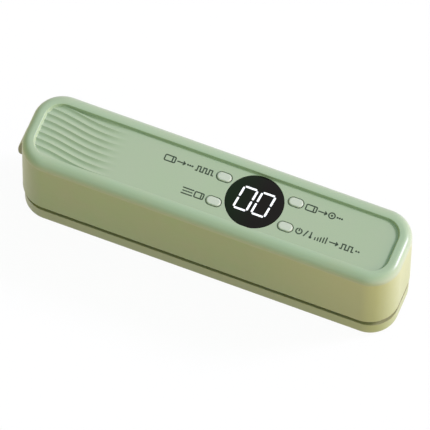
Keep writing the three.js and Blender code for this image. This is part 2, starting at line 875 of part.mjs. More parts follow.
// Chassis: carries the upper gasket, the heater, the pump and the battery
function gasketLoop(slack, z0, z1) {
  const outer = roundedRectangle(
    0, chamberY, gasketLength + slack * 2, gasketWidth + slack * 2, gasketCorner + slack,
  );
  const inner = roundedRectangle(
    0, chamberY, gasketLength - gasketBead * 2 - slack * 2, gasketWidth - gasketBead * 2 - slack * 2,
    gasketCorner - gasketBead - slack,
  );
  return cut(
    raised(outer, z0, z1, cornerSteps / 2),
    raised(inner, z0 - overrun, z1 + overrun, cornerSteps / 2),
  );
}

const chamber = (grow, z0, z1) => raised(
  roundedRectangle(0, chamberY, chamberLength + grow * 2, chamberWidth + grow * 2, chamberCorner + grow),
  z0, z1, cornerSteps / 2,
);

const heaterRoom = (gap, z0, z1) => block(
  -heaterLength / 2 - gap, heaterLength / 2 + gap, heaterY - heaterWidth / 2 - gap,
  heaterY + heaterWidth / 2 + gap, z0, z1,
);

const leadHoleX = heaterLength / 2 - leadRadius * 3;

function chassis() {
  let plate = straightBody(chassisInset, chassisBottomZ, chassisTopZ);
  plate = cut(
    plate,
    chamber(0, chassisBottomZ - overrun, chassisBottomZ + upperChamberDepth),
    gasketLoop(seatGap, chassisBottomZ - overrun, shellEdgeZ + filmGap),
    heaterRoom(seatGap, chassisBottomZ - overrun, heaterTopZ + seatGap),
  );
  plate = joined(plate, ...cellSaddles(), motorSaddle(), ...chargePosts());
  const pocket = block(
    halfLength - hingePocketLength, halfLength, -earOuterY - runGap, earOuterY + runGap,
    chassisBottomZ - overrun, chassisBottomZ + hingePocketHeight,
  );
  plate = joined(cut(plate, pocket), ...hingeLugs());
  const screwRooms = chassisScrewPlaces().flatMap(([x, y]) => [
    post(
      x, y, screwHeadRadius + seatGap, chassisBottomZ - overrun,
      chassisBottomZ + screwHeadHeight + seatGap * 2,
    ),
    post(x, y, screwRadius + seatGap * 2, chassisBottomZ - overrun, chassisTopZ + overrun),
  ]);
  const leadHoles = [-1, 1].map((side) => post(
    side * leadHoleX, heaterY, leadHoleRadius, chassisBottomZ, chassisTopZ + overrun,
  ));
  const nozzleHole = post(
    hoseDropX, chamberY, nozzleStemRadius + seatGap, chassisBottomZ - overrun,
    chassisTopZ + overrun,
  );
  return cut(plate, ...screwRooms, ...leadHoles, nozzleHole, hingePinHole());
}

function hingeLugs() {
  const y0 = earOuterY + runGap;
  return [-1, 1].map((side) => {
    const low = side > 0 ? y0 : -y0 - lugThickness;
    const lug = rodAlongY(hingeX, hingeZ, knuckleRadius, low, low + lugThickness, midRound);
    const root = block(
      hingeX - knuckleRadius, hingeX + knuckleRadius / 2, low, low + lugThickness, hingeZ,
      chassisBottomZ + filmGap,
    );
    return joined(lug, root);
  });
}

const hingePinHole = () => rodAlongY(
  hingeX, hingeZ, hingePinRadius + hingePinSlack, -halfWidth, halfWidth, midRound,
);

function cellSaddles() {
  return [-1, 1].map((side) => {
    const x = cellX + side * cellLength * saddleShare;
    const arm = block(
      x - saddleThickness / 2, x + saddleThickness / 2, -saddleWidth / 2, saddleWidth / 2,
      chassisTopZ - filmGap, chassisTopZ + saddleRise,
    );
    return cut(
      arm,
      rodAlongX(0, cellZ, cellRadius + seatGap, x - saddleThickness, x + saddleThickness, midRound),
    );
  });
}

function motorSaddle() {
  const x = motorX + motorLength / 2;
  const arm = block(
    x - motorSaddleLength / 2, x + motorSaddleLength / 2, -saddleWidth / 2, saddleWidth / 2,
    chassisTopZ - filmGap, chassisTopZ + saddleRise,
  );
  return cut(
    arm,
    rodAlongX(0, pumpAxisZ, motorRadius + seatGap, x - motorSaddleLength, x + motorSaddleLength, midRound),
  );
}

const chargePosts = () => [-1, 1].map((side) => post(
  socketX + side * chargePostReach, chargeBoardY, chargePostRadius, chassisTopZ - filmGap,
  chargeBoardZ - seatGap,
));

// Heat sealing bar, its strip and its cover tape
const heaterBar = () => heaterRoom(0, heaterBottomZ, heaterTopZ);

const heatingStrip = () => block(
  -heaterLength / 2, heaterLength / 2, heaterY - stripWidth / 2, heaterY + stripWidth / 2,
  stripBottomZ, stripTopZ,
);

const heaterTape = () => block(
  -heaterLength / 2, heaterLength / 2, heaterY - tapeWidth / 2, heaterY + tapeWidth / 2,
  tapeBottomZ, tapeTopZ,
);

const pressStrip = () => block(
  -heaterLength / 2, heaterLength / 2, heaterY - pressStripWidth / 2, heaterY + pressStripWidth / 2,
  deckTopZ - gasketDepth + filmGap, tapeBottomZ - runGap,
);

// Lower jaw: an outer cover and the deck that sits in it
function jawCover() {
  const levels = [];
  for (let step = 0; step <= filletSteps; step += 1) {
    const angle = step / filletSteps * Math.PI / 2;
    levels.push([
      jawInset + jawFillet * (1 - Math.sin(angle)),
      jawBottomZ + jawFillet * (1 - Math.cos(angle)),
    ]);
  }
  levels.push([jawInset, jawTopZ]);
  const hollow = straightBody(jawInset + jawWall, jawBottomZ + jawFloor, jawTopZ + overrun);
  const side = latchWidth / 2 + latchSideGap;
  const notch = block(
    -halfLength - overrun, -halfLength + deckInset + strikeRecess, -side, side, latchNotchZ,
    jawTopZ + overrun,
  );
  const floorZ = jawBottomZ + jawFloor;
  const pads = jawScrewPlaces.map(([x, y]) => post(
    x, y, jawScrewPad, floorZ - filmGap, floorZ + jawScrewPadHeight,
  ));
  const screwRooms = jawScrewPlaces.flatMap(([x, y]) => [
    post(x, y, screwHeadRadius + seatGap, jawBottomZ - overrun, jawBottomZ + screwHeadHeight + seatGap * 3),
    post(x, y, screwRadius + seatGap, jawBottomZ - overrun, jawTopZ + overrun),
  ]);
  const footRooms = footPlaces().map(([x, y]) => post(
    x, y, footRadius + seatGap, jawBottomZ - overrun, jawBottomZ + footPocket, midRound,
  ));
  return cut(joined(cut(throughRings(levels), hollow, notch), ...pads), ...screwRooms, ...footRooms);
}

const footPlaces = () => [-1, 1].flatMap((sx) => [-1, 1].map((sy) => [sx * footX, sy * footY]));

const foot = ([x, y]) => post(x, y, footRadius, 0, footHeight, midRound);

const jawScrew = ([x, y]) => screw(
  x, y, jawBottomZ + seatGap, screwHeadHeight, screwHeadRadius, screwRadius, jawScrewLength,
);

function jawDeck() {
  let deck = joined(
    straightBody(deckInset, deckBottomZ, deckTopZ),
    chamber(panWall, deckTopZ - lowerChamberDepth - panWall, deckBottomZ + filmGap),
    ...jawScrewPlaces.map(([x, y]) => post(
      x, y, jawScrewBoss, jawBottomZ + jawFloor + jawScrewPadHeight + runGap, deckBottomZ + filmGap,
    )),
  );
  const lugRoomX = hingeX - knuckleRadius - runGap;
  const lugRoom = (low) => block(
    lugRoomX, halfLength, low, low + lugThickness + runGap * 2, deckTopZ - lugReliefDepth, deckTopZ + overrun,
  );
  const grooveZ = deckTopZ - gasketDepth;
  deck = cut(
    deck,
    chamber(0, deckTopZ - lowerChamberDepth, deckTopZ + overrun),
    gasketLoop(seatGap, grooveZ, deckTopZ + overrun),
    block(
      -heaterLength / 2 - seatGap, heaterLength / 2 + seatGap,
      heaterY - pressStripWidth / 2 - seatGap, heaterY + pressStripWidth / 2 + seatGap, grooveZ,
      deckTopZ + overrun,
    ),
    lugRoom(earOuterY),
    lugRoom(-earOuterY - lugThickness - runGap * 2),
    block(
      -halfLength, -halfLength + deckInset + strikeRecess, -latchWidth / 2, latchWidth / 2,
      deckBottomZ - overrun, deckTopZ + overrun,
    ),
    ...jawScrewPlaces.map(([x, y]) => post(
      x, y, screwRadius + filmGap, 0, jawBottomZ + seatGap * 2 + screwHeadHeight + jawScrewLength,
    )),
  );
  const ears = [-1, 1].map((side) => {
    const low = side > 0 ? earInnerY : -earOuterY;
    const high = low + earOuterY - earInnerY;
    const eye = rodAlongY(hingeX, hingeZ, knuckleRadius, low, high, midRound);
    const stem = block(
      hingeX - knuckleRadius, halfLength - deckInset - runGap, low, high, deckTopZ - filmGap, hingeZ,
    );
    return joined(eye, stem);
  });
  return cut(joined(deck, ...ears), hingePinHole());
}

const hingePin = () => rodAlongY(
  hingeX, hingeZ, hingePinRadius, -earOuterY - lugThickness, earOuterY + lugThickness, midRound,
);

// Latch lever: a plate in the end wall with a finger lip outside and a hook foot below
function latchLever() {
  const face = -halfLength;
  const inside = -halfLength + shellWall;
  const lipTopZ = lipBottomZ + lipHeight;
  const outline = new THREE.Shape();
  outline.moveTo(inside, latchTopZ);
  outline.lineTo(face, latchTopZ);
  outline.lineTo(face, lipTopZ);
  outline.bezierCurveTo(
    face - lipReach * lipShares.shoulderReach, lipTopZ - lipHeight * lipShares.shoulderDrop,
    face - lipReach * lipShares.faceReach, lipTopZ - lipHeight * lipShares.faceDrop,
    face - lipReach, lipBottomZ + lipHeight * lipShares.tipRise,
  );
  outline.bezierCurveTo(
    face - lipReach, lipBottomZ,
    face - lipReach * lipShares.underReach, lipBottomZ,
    face, lipBottomZ + lipHeight * lipShares.rootRise,
  );
  outline.lineTo(face, latchFootZ);
  outline.lineTo(inside, latchFootZ);
  outline.lineTo(inside, latchFootZ + noseHeight / 2);
  outline.lineTo(inside + noseReach, latchFootZ + noseHeight - noseFlat / 2);
  outline.lineTo(inside + noseReach, latchFootZ + noseHeight + noseFlat / 2);
  outline.lineTo(inside, latchFootZ + noseHeight * 2);
  outline.closePath();
  const plate = acrossY(outline, latchWidth, cornerSteps / 2);
  const half = latchWidth / 2;
  const hub = joined(
    rodAlongY(latchPivotX, latchPivotZ, latchHubRadius, -half, half),
    block(
      inside - filmGap, latchPivotX, -half, half, latchPivotZ - latchHubRadius,
      latchPivotZ + latchHubRadius,
    ),
  );
  return cut(joined(plate, hub), latchPinHole());
}

const latchPin = () => {
  const reach = latchWidth / 2 + latchSideGap + runGap + latchLugThickness;
  return rodAlongY(latchPivotX, latchPivotZ, latchPinRadius, -reach, reach);
};

const strikePlate = () => {
  const x1 = -halfLength + deckInset + strikeRecess - filmGap;
  return block(
    x1 - strikeThickness, x1, -strikeWidth / 2, strikeWidth / 2, deckTopZ - strikeHeight, deckTopZ,
  );
};

// A bent leaf that lies on the end wall above the lever and reaches down behind its top
function latchSpring() {
  const back = -halfLength + shellWall + filmGap;
  const bendTopZ = latchTopZ + latchTopGap + springBend;
  const bendBottomZ = latchTopZ - springBend / 2;
  const tipZ = latchPivotZ + latchHubRadius + runGap;
  const outline = new THREE.Shape([
    new THREE.Vector2(back, springTopZ),
    new THREE.Vector2(back, bendTopZ),
    new THREE.Vector2(back + springBend, bendBottomZ),
    new THREE.Vector2(back + springBend, tipZ),
    new THREE.Vector2(back + springBend + springThickness, tipZ),
    new THREE.Vector2(back + springBend + springThickness, bendBottomZ),
    new THREE.Vector2(back + springThickness, bendTopZ),
    new THREE.Vector2(back + springThickness, springTopZ),
  ]);
  return acrossY(outline, springWidth);
}

// Battery cell, pump, hose and charging socket
function batteryCell() {
  const x0 = cellX - cellLength / 2;
  const x1 = cellX + cellLength / 2;
  return joined(
    rodAlongX(0, cellZ, cellRadius, x0, x1 - cellCapHeight, midRound),
    rodAlongX(0, cellZ, cellCapRadius, x1 - cellCapHeight - filmGap, x1),
  );
}

function pumpHead() {
  const half = pumpHeadWidth / 2;
  const endX = pumpX + pumpHeadLength;
  const head = block(pumpX, endX, -half, half, pumpBaseZ, pumpBaseZ + pumpHeadHeight);
  const bar = block(endX - filmGap, pumpRearX + filmGap, -half, half, pumpBaseZ, pumpBaseZ + pumpBarHeight);
  const plate = block(
    pumpRearX, pumpRearX + pumpPlateThickness, -half, half, pumpBaseZ, pumpBaseZ + pumpHeadHeight,
  );
  const port = rodAlongX(chamberY, hoseTopZ, portRadius, pumpX - portLength, pumpX + filmGap);
  const portBore = rodAlongX(
    chamberY, hoseTopZ, nozzleBore, pumpX - portLength - overrun, pumpX + portLength,
  );
  const shaftHole = rodAlongX(0, pumpAxisZ, shaftHoleRadius, endX + crankPinGap, pumpRearX + overrun);
  return cut(joined(head, bar, plate, port), portBore, shaftHole);
}

function pumpCrank() {
  const discX1 = pumpRearX - crankPinGap;
  const discX0 = discX1 - crankThickness;
  const disc = rodAlongX(0, pumpAxisZ, crankRadius, discX0, discX1, midRound);
  const pin = rodAlongX(
    crankThrow, pumpAxisZ, crankPinRadius, pumpX + pumpHeadLength + crankPinGap, discX0 + filmGap,
  );
  const bore = rodAlongX(0, pumpAxisZ, shaftRadius + crankSlack, discX0 - overrun, discX1 + overrun);
  return cut(joined(disc, pin), bore);
}

function pumpMotor() {
  const endX = motorX + motorLength;
  const can = rodAlongX(0, pumpAxisZ, motorRadius, motorX, endX, midRound);
  const shaft = rodAlongX(
    0, pumpAxisZ, shaftRadius, pumpRearX - crankPinGap - crankThickness, motorX + filmGap,
  );
  const boss = rodAlongX(0, pumpAxisZ, motorBossRadius, endX - filmGap, endX + motorBossHeight);
  const tabs = [-1, 1].map((side) => block(
    endX - filmGap, endX + motorTabHeight,
    side * motorTabRow - motorTabThickness / 2, side * motorTabRow + motorTabThickness / 2,
    pumpAxisZ - motorTabWidth / 2, pumpAxisZ + motorTabWidth / 2,
  ));
  return joined(can, shaft, boss, ...tabs);
}

function suctionNozzle() {
  const flangeZ = chassisTopZ + filmGap;
  const flangeTopZ = flangeZ + nozzleFlangeHeight;
  const stem = post(hoseDropX, chamberY, nozzleStemRadius, chassisBottomZ + upperChamberDepth, flangeTopZ);
  const flange = post(hoseDropX, chamberY, nozzleFlangeRadius, flangeZ, flangeTopZ);
  const barb = post(hoseDropX, chamberY, portRadius, flangeTopZ - filmGap, flangeTopZ + nozzleBarb);
  const bore = post(
    hoseDropX, chamberY, nozzleBore, chassisBottomZ - overrun, flangeTopZ + nozzleBarb + overrun,
  );
  return cut(joined(stem, flange, barb), bore);
}

function suctionHose() {
  const bendX = hoseDropX + hoseBendRun;
  const bendZ = hoseTopZ - hoseBendDrop;
  const path = new THREE.CurvePath();
  const at = (x, z) => new THREE.Vector3(x, chamberY, z);
  path.add(new THREE.LineCurve3(at(pumpX - filmGap, hoseTopZ), at(bendX, hoseTopZ)));
  path.add(new THREE.CubicBezierCurve3(
    at(bendX, hoseTopZ), at(bendX - hoseBendRun * bendPullShare, hoseTopZ),
    at(hoseDropX, bendZ + hoseBendDrop * bendPullShare), at(hoseDropX, bendZ),
  ));
  path.add(new THREE.LineCurve3(at(hoseDropX, bendZ), at(hoseDropX, hoseLowZ)));
  return alongPath(path, hoseRadius, hoseSides, hoseSteps, hoseBore);
}

function usbSocket() {
  const along = (length, height, y0, y1) => {
    const form = new THREE.ExtrudeGeometry(
      pill(0, 0, length, height), { depth: y1 - y0, bevelEnabled: false, curveSegments: pillSteps },
    );
    form.rotateX(Math.PI / 2);
    form.translate(socketX, y1, socketZ);
    return solid(form);
  };
  const mouthY = halfWidth - socketRecess;
  const backY = mouthY - socketDepth;
  const shell = along(socketLength, socketHeight, backY, mouthY);
  const room = along(
    socketLength - socketWall * 2, socketHeight - socketWall * 2, backY + socketFloor,
    mouthY + overrun,
  );
  const tongue = block(
    socketX - tongueLength / 2, socketX + tongueLength / 2, backY + socketFloor - filmGap,
    backY + socketFloor + tongueReach,
    socketZ - tongueThickness / 2, socketZ + tongueThickness / 2,
  );
  return joined(cut(shell, room), tongue);
}

const chargeBoard = () => block(
  socketX - chargeBoardLength / 2, socketX + chargeBoardLength / 2,
  chargeBoardY - chargeBoardWidth / 2, chargeBoardY + chargeBoardWidth / 2,
  chargeBoardZ, chargeBoardZ + chargeBoardThickness,
);

// Leads, each one round wire along a few points
function lead(points) {
  const path = new THREE.CatmullRomCurve3(
    points.map(([x, y, z]) => new THREE.Vector3(x, y, z)), false, 'centripetal',
  );
  return alongPath(path, leadRadius, leadSides, Math.ceil(path.getLength() / (leadRadius * leadStepShare)));
}

const boardEndX = displayX + boardLength / 2;
const boardStartX = displayX - boardLength / 2;
const leadTopZ = boardBottomZ - runGap;

function motorLead(side) {
  const y = side * motorTabRow;
  const tabX = motorX + motorLength + motorTabHeight;
  const overZ = pumpAxisZ + motorRadius + motorLeadRise - leadRadius;
  const bow = motorTabHeight * 2;
  return lead([
    [tabX + runGap, y, pumpAxisZ],
    [tabX + runGap + leadRadius, y, pumpAxisZ],
    [tabX + bow, y, pumpAxisZ + bow],
    [tabX + bow, y, overZ - bow],
    [tabX - bow / 2, y, overZ],
    [boardEndX, y, overZ],
    [boardEndX - bow / 2, y, leadTopZ - leadRadius],
    [boardEndX - bow / 2, y, leadTopZ],
  ]);
}

function cellLeadPlus() {
  const capX = cellX + cellLength / 2 + filmGap;
  const edgeX = socketX + chargeBoardLength / 2 + runGap;
  const middleZ = chargeBoardZ + chargeBoardThickness / 2;
  const bow = leadRadius * 4;
  return lead([
    [capX, 0, cellZ],
    [capX + leadRadius, 0, cellZ],
    [capX + leadRadius * 3, bow, cellZ - bow / 2],
    [capX + leadRadius * 3, chargeBoardY - bow, middleZ],
    [edgeX + leadRadius, chargeBoardY, middleZ],
    [edgeX, chargeBoardY, middleZ],
  ]);
}

function cellLeadMinus() {
  const endX = cellX - cellLength / 2 - runGap;
  const sideY = cellRadius + leadRadius * 2;
  const edgeX = socketX - chargeBoardLength / 2 - runGap;
  const middleZ = chargeBoardZ + chargeBoardThickness / 2;
  const overZ = chassisTopZ + runGap + bossHeight + leadRadius * 2;
  const bow = leadRadius * 4;
  return lead([
    [endX, 0, cellZ],
    [endX - leadRadius, 0, cellZ],
    [endX - bow, bow, cellZ],
    [endX - bow / 2, sideY, overZ],
    [endX + bow, sideY + leadRadius, overZ],
    [edgeX - bow * 2, sideY + leadRadius, middleZ],
    [edgeX - leadRadius, chargeBoardY, middleZ],
    [edgeX, chargeBoardY, middleZ],
  ]);
}

function heaterLead(side) {
  const x = side * leadHoleX;
  const topX = side > 0 ? pumpRearX - crankRoom / 2 : boardStartX + boardThickness * 3;
  const inX = topX + side * leadRadius * 12;
  return lead([
    [x, heaterY, heaterTopZ + seatGap * 2],
    [x, heaterY, (heaterTopZ + chassisTopZ) / 2],
    [x, heaterY, chassisTopZ + leadRadius * 2],
    [x - side * bossRadius * 2, -leadRow, leadRunZ],
    [(x + inX) / 2, -leadRow, leadRunZ],
    [inX, -leadRow, leadRunZ],
    [topX, -leadRow + leadRadius * 2, (leadRunZ + leadTopZ) / 2],
    [topX, -boardWidth / 2 + leadRadius * 2, leadTopZ - leadRadius * 3],
    [topX, -boardWidth / 2 + leadRadius * 2, leadTopZ],
  ]);
}

function chargeLead() {
  const x = socketX + socketLength / 2 + leadRadius * 2;
  const endX = boardStartX + boardThickness * 2;
  const endY = boardWidth / 2 - boardThickness * 2;
  const startZ = chargeBoardZ + chargeBoardThickness + runGap;
  return lead([
    [x, chargeBoardY, startZ],
    [x, chargeBoardY, startZ + leadRadius],
    [x, chargeBoardY, (startZ + leadTopZ) / 2],
    [endX, endY, leadTopZ - leadRadius * 4],
    [endX, endY, leadTopZ - leadRadius],
    [endX, endY, leadTopZ],
  ]);
}

// Materials
const finish = (color, roughness, metalness = 0) => new THREE.MeshStandardMaterial(
  { color, roughness, metalness },
);
const greenShell = finish('#a9bb9a', 0.45);
const greenPanel = finish('#a8bd9f', 0.5);
const greenCover = finish('#a3b294', 0.5);
const paleCap = finish('#d3d8cb', 0.35);
const smokedLens = finish('#1c1f1e', 0.12);
const whiteLight = finish('#f4f5f2', 0.4);
const blackPlastic = finish('#25272a', 0.55);
const greyNylon = finish('#7d837b', 0.6);
const blackRubber = finish('#2a2b2c', 0.85);
const greySilicone = finish('#b9bdb8', 0.75);
const brightSteel = finish('#c3c6c8', 0.28, 1);
const springSteel = finish('#9aa0a3', 0.35, 1);
const brass = finish('#c2a35a', 0.35, 1);
const board = finish('#1f5a3a', 0.55);
const brownTape = finish('#8d6a3f', 0.5);
const blueSleeve = finish('#33608f', 0.4);
const redLead = finish('#a3281f', 0.5);
const darkLead = finish('#1d1d1f', 0.5);

const vacuumSealer = new THREE.Group();
// The origin is under the middle of the whole length, which the latch lip makes longer on the left
const assembly = new THREE.Group();
assembly.position.x = lipReach / 2;
vacuumSealer.add(assembly);

function place(name, body, material) {
  const mesh = new THREE.Mesh(geometryOf(body), material);
  mesh.name = name;
  assembly.add(mesh);
}

place('upper_shell', upperShell(), greenShell);
place('control_panel', controlPanel(), greenPanel);
place('display_lens', displayLens(), smokedLens);
place('display_module', displayModule(), whiteLight);
for (const [name, at] of Object.entries(buttonPlaces)) {
  place(`button_${name}`, button(at), paleCap);
  place(`switch_${name}`, tactSwitch(at), blackPlastic);
}
place('control_board', controlBoard(), board);
boardPosts.forEach((at, i) => place(`board_screw_${i + 1}`, boardScrew(at), brightSteel));
place('chassis', chassis(), greyNylon);
place('upper_gasket', gasketLoop(0, upperGasketZ, shellEdgeZ), greySilicone);
place('heater_bar', heaterBar(), blackPlastic);
place('heating_strip', heatingStrip(), brightSteel);
place('heater_tape', heaterTape(), brownTape);
chassisScrewPlaces().forEach(([x, y], i) => place(
  `chassis_screw_${i + 1}`,
  screw(x, y, chassisBottomZ + seatGap, screwHeadHeight, screwHeadRadius, screwRadius, chassisScrewLength),
  brightSteel,
));
place('hinge_pin', hingePin(), brightSteel);
place('battery_cell', batteryCell(), blueSleeve);
place('pump_head', pumpHead(), blackPlastic);
place('pump_crank', pumpCrank(), brass);
place('pump_motor', pumpMotor(), brightSteel);
place('suction_hose', suctionHose(), greySilicone);
place('suction_nozzle', suctionNozzle(), blackPlastic);
place('charge_board', chargeBoard(), board);
place('charge_socket', usbSocket(), brightSteel);
place('motor_lead_red', motorLead(1), redLead);
place('motor_lead_black', motorLead(-1), darkLead);
place('cell_lead_plus', cellLeadPlus(), redLead);
place('cell_lead_minus', cellLeadMinus(), darkLead);
place('heater_lead_left', heaterLead(-1), whiteLight);
place('heater_lead_right', heaterLead(1), whiteLight);
place('charge_lead', chargeLead(), redLead);
place('latch_lever', latchLever(), greenCover);
place('latch_pin', latchPin(), brightSteel);
place('latch_spring', latchSpring(), springSteel);
place('jaw_cover', jawCover(), greenCover);
place('jaw_deck', jawDeck(), greyNylon);
place('lower_gasket', gasketLoop(0, deckTopZ - gasketDepth + filmGap, lowerGasketTopZ), greySilicone);
place('press_strip', pressStrip(), blackRubber);
place('strike_plate', strikePlate(), brightSteel);
jawScrewPlaces.forEach((at, i) => place(`jaw_screw_${i + 1}`, jawScrew(at), brightSteel));
footPlaces().forEach((at, i) => place(`foot_${i + 1}`, foot(at), blackRubber));

export default vacuumSealer;
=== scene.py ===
"""Looks of the handheld vacuum sealer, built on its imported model.

Lengths are in metres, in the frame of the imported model: +X to the right, the operator at -Y.
Forms that the camera can see are modelled anew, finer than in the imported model, and each of them
replaces its node. The other nodes get a material.
"""
import json
import math
from functools import partial

import bmesh
import bpy
from mathutils import Matrix, Vector
from mathutils.geometry import delaunay_2d_cdt
from numpy import interp


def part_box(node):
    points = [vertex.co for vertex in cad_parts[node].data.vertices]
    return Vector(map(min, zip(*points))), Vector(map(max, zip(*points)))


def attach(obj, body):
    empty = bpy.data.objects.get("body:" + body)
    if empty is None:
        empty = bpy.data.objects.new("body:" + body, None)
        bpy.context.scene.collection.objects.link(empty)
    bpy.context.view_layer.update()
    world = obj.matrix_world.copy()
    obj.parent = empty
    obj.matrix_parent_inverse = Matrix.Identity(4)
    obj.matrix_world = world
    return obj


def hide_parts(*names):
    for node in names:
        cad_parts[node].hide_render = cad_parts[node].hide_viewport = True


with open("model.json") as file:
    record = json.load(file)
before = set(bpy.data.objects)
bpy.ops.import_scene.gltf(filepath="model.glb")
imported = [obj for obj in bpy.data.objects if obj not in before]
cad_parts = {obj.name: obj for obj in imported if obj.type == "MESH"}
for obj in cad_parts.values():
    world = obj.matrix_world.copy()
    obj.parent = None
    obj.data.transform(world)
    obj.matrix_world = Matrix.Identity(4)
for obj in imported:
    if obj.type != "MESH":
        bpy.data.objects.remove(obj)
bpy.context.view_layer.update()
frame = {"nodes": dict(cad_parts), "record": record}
slots = {part["node"]: part["material_slot"] for part in frame["record"]["subparts"]}
MM = 0.001

# Overall body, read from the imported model
shell_low, shell_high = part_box("upper_shell")
cover_low, cover_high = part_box("jaw_cover")
lens_low, lens_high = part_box("display_lens")
lever_low, lever_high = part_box("latch_lever")
CENTRE_X = (shell_low.x + shell_high.x) / 2
WIDTH = shell_high.y - shell_low.y
TOP_Z = shell_high.z
EDGE_Z = shell_low.z
CORNER = 17 * MM
WALL = 2.2 * MM
COVER_TOP_RISE = 0.4 * MM
COVER_TOP_Z = cover_high.z + COVER_TOP_RISE

# Rim and recess
RIM = 7.15 * MM
RIM_RUN = 5.9 * MM
RIM_RISE = 5.1 * MM
RIM_FULLNESS = 0.97
RIM_DIP = 0.08 * MM
RIM_MIDDLE_DIP = RIM_DIP * 0.3
RIM_LIP = 0.4 * MM
LIP_TURN = 85
WALL_SLOPE = 0.4 * MM
LEDGE = 3 * MM
LEDGE_GAP = 0.1 * MM
ROOF_THICKNESS = 2.2 * MM
ROOF_CHAMFER = 2 * MM
EDGE_ROUND = 0.35 * MM
EDGE_MIDDLE = 0.3
PANEL_TUCK = 0.1 * MM
PANEL_END_TUCK = 0.6 * MM
PANEL_THICKNESS = 2 * MM
PANEL_INSET = RIM + WALL_SLOPE - PANEL_TUCK
PANEL_LEFT_X = shell_low.x + PANEL_INSET - PANEL_END_TUCK
DISPLAY_PROUD = 0.1 * MM
PANEL_TOP_Z = lens_high.z - DISPLAY_PROUD
PANEL_BOTTOM_Z = PANEL_TOP_Z - PANEL_THICKNESS
LEDGE_Z = PANEL_BOTTOM_Z - LEDGE_GAP
ROOF_Z = LEDGE_Z - ROOF_THICKNESS

# Thumb grip
FLUTE_PITCH = 4.07 * MM
FLUTE_DEPTH = 1.0 * MM
FLUTE_SWAY = 2.1 * MM
FLUTE_SWAY_LENGTH = 36 * MM
FLUTE_SHIFT = 1.54 * MM
FLUTE_START_X = shell_low.x + 6.95 * MM
FLUTE_FULL = 33 * MM
FLUTE_FADE = 16 * MM
FLUTE_FACETS = 14
FLUTE_COLUMN = 0.8 * MM
FLUTE_MARGIN = 0.7
CREST_SHARE = 0.88

# Display window and buttons
LENS_X = (lens_low.x + lens_high.x) / 2
LENS_FLANGE = 0.75 * MM
LENS_RADIUS = (lens_high.x - lens_low.x) / 2 - LENS_FLANGE
LENS_GAP = 0.2 * MM
LENS_EDGE = 0.25 * MM
KEYS = ("pulse", "seal", "vacuum", "power")
BUTTON_LENGTH = 8.2 * MM
BUTTON_WIDTH = 5.0 * MM
BUTTON_SLACK = 0.2 * MM
HOLE_EDGE = 0.1 * MM
FLANGE_GAP = 0.3 * MM
FLANGE_Z = PANEL_BOTTOM_Z - FLANGE_GAP

# Fineness of round shapes
CORNER_STEPS = 28
RIM_STEPS = 24
ROUND_STEPS = 14
SOFT_STEPS = 6
EDGE_STEPS = 4
PILL_STEPS = 16
CIRCLE_STEPS = 96
FOOT_STEPS = 64
SHARP_ANGLE = math.radians(38)
MERGE_DISTANCE = 1e-7
FILL_TOLERANCE = 1e-9
FILL_AROUND_HOLES = 2
SHARPEST_BEND = 0.3


# Outlines, as lists of points that run anticlockwise
def arc(x, y, radius, start, end, steps):
    """Points of an arc from one angle to another, in degrees."""
    span = (end - start) / steps
    turns = [math.radians(start + span * i) for i in range(steps + 1)]
    return [(x + radius * math.cos(t), y + radius * math.sin(t)) for t in turns]


def circle(x, y, radius, steps=CIRCLE_STEPS):
    return arc(x, y, radius, 0, 360, steps)[:-1]


def rounded_rectangle(x, y, length, width, radius, steps=CORNER_STEPS):
    right, left = x + length / 2 - radius, x - length / 2 + radius
    back, front = y + width / 2 - radius, y - width / 2 + radius
    return (
        arc(right, front, radius, -90, 0, steps)
        + arc(right, back, radius, 0, 90, steps)
        + arc(left, back, radius, 90, 180, steps)
        + arc(left, front, radius, 180, 270, steps)
    )


def pill(x, y, length, width):
    reach, radius = (length - width) / 2, width / 2
    right = arc(x + reach, y, radius, -90, 90, PILL_STEPS)
    return right + arc(x - reach, y, radius, 90, 270, PILL_STEPS)


def bend(before, after, least):
    """The way out at a bend between two unit steps, and how much an offset gains on it there."""
    across = Vector((before.y, -before.x))
    side = (across + Vector((after.y, -after.x))).normalized()
    return side, max(side.dot(across), least)


def grown(points, amount):
    """The outline moved outwards by an amount, each corner kept sharp."""
    result = []
    for i, point in enumerate(points):
        here = Vector(point)
        before = (here - Vector(points[i - 1])).normalized()
        after = (Vector(points[(i + 1) % len(points)]) - here).normalized()
        side, gain = bend(before, after, SHARPEST_BEND)
        result.append(tuple(here + side * (amount / gain)))
    return result


def plan_between(left, right, inset):
    """The body's plan between two ends, at an inset from its sides."""
    return rounded_rectangle((left + right) / 2, 0, right - left, WIDTH - inset * 2, CORNER - inset)


def middle(node):
    """The place of a node in plan."""
    low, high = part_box(node)
    return (low.x + high.x) / 2, (low.y + high.y) / 2


def radius_of(node):
    low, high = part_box(node)
    return (high.x - low.x) / 2


X, Y, Z = Vector((1, 0, 0)), Vector((0, 1, 0)), Vector((0, 0, 1))


def laid(right, up, out, place=(0, 0, 0)):
    """The turn that lays a flat outline and its height along three directions, at a place."""
    return Matrix.Translation(place) @ Matrix((right, up, out)).transposed().to_4x4()


# Meshes
def added(name, data):
    """A new object in the scene."""
    obj = bpy.data.objects.new(name, data)
    bpy.context.scene.collection.objects.link(obj)
    return obj


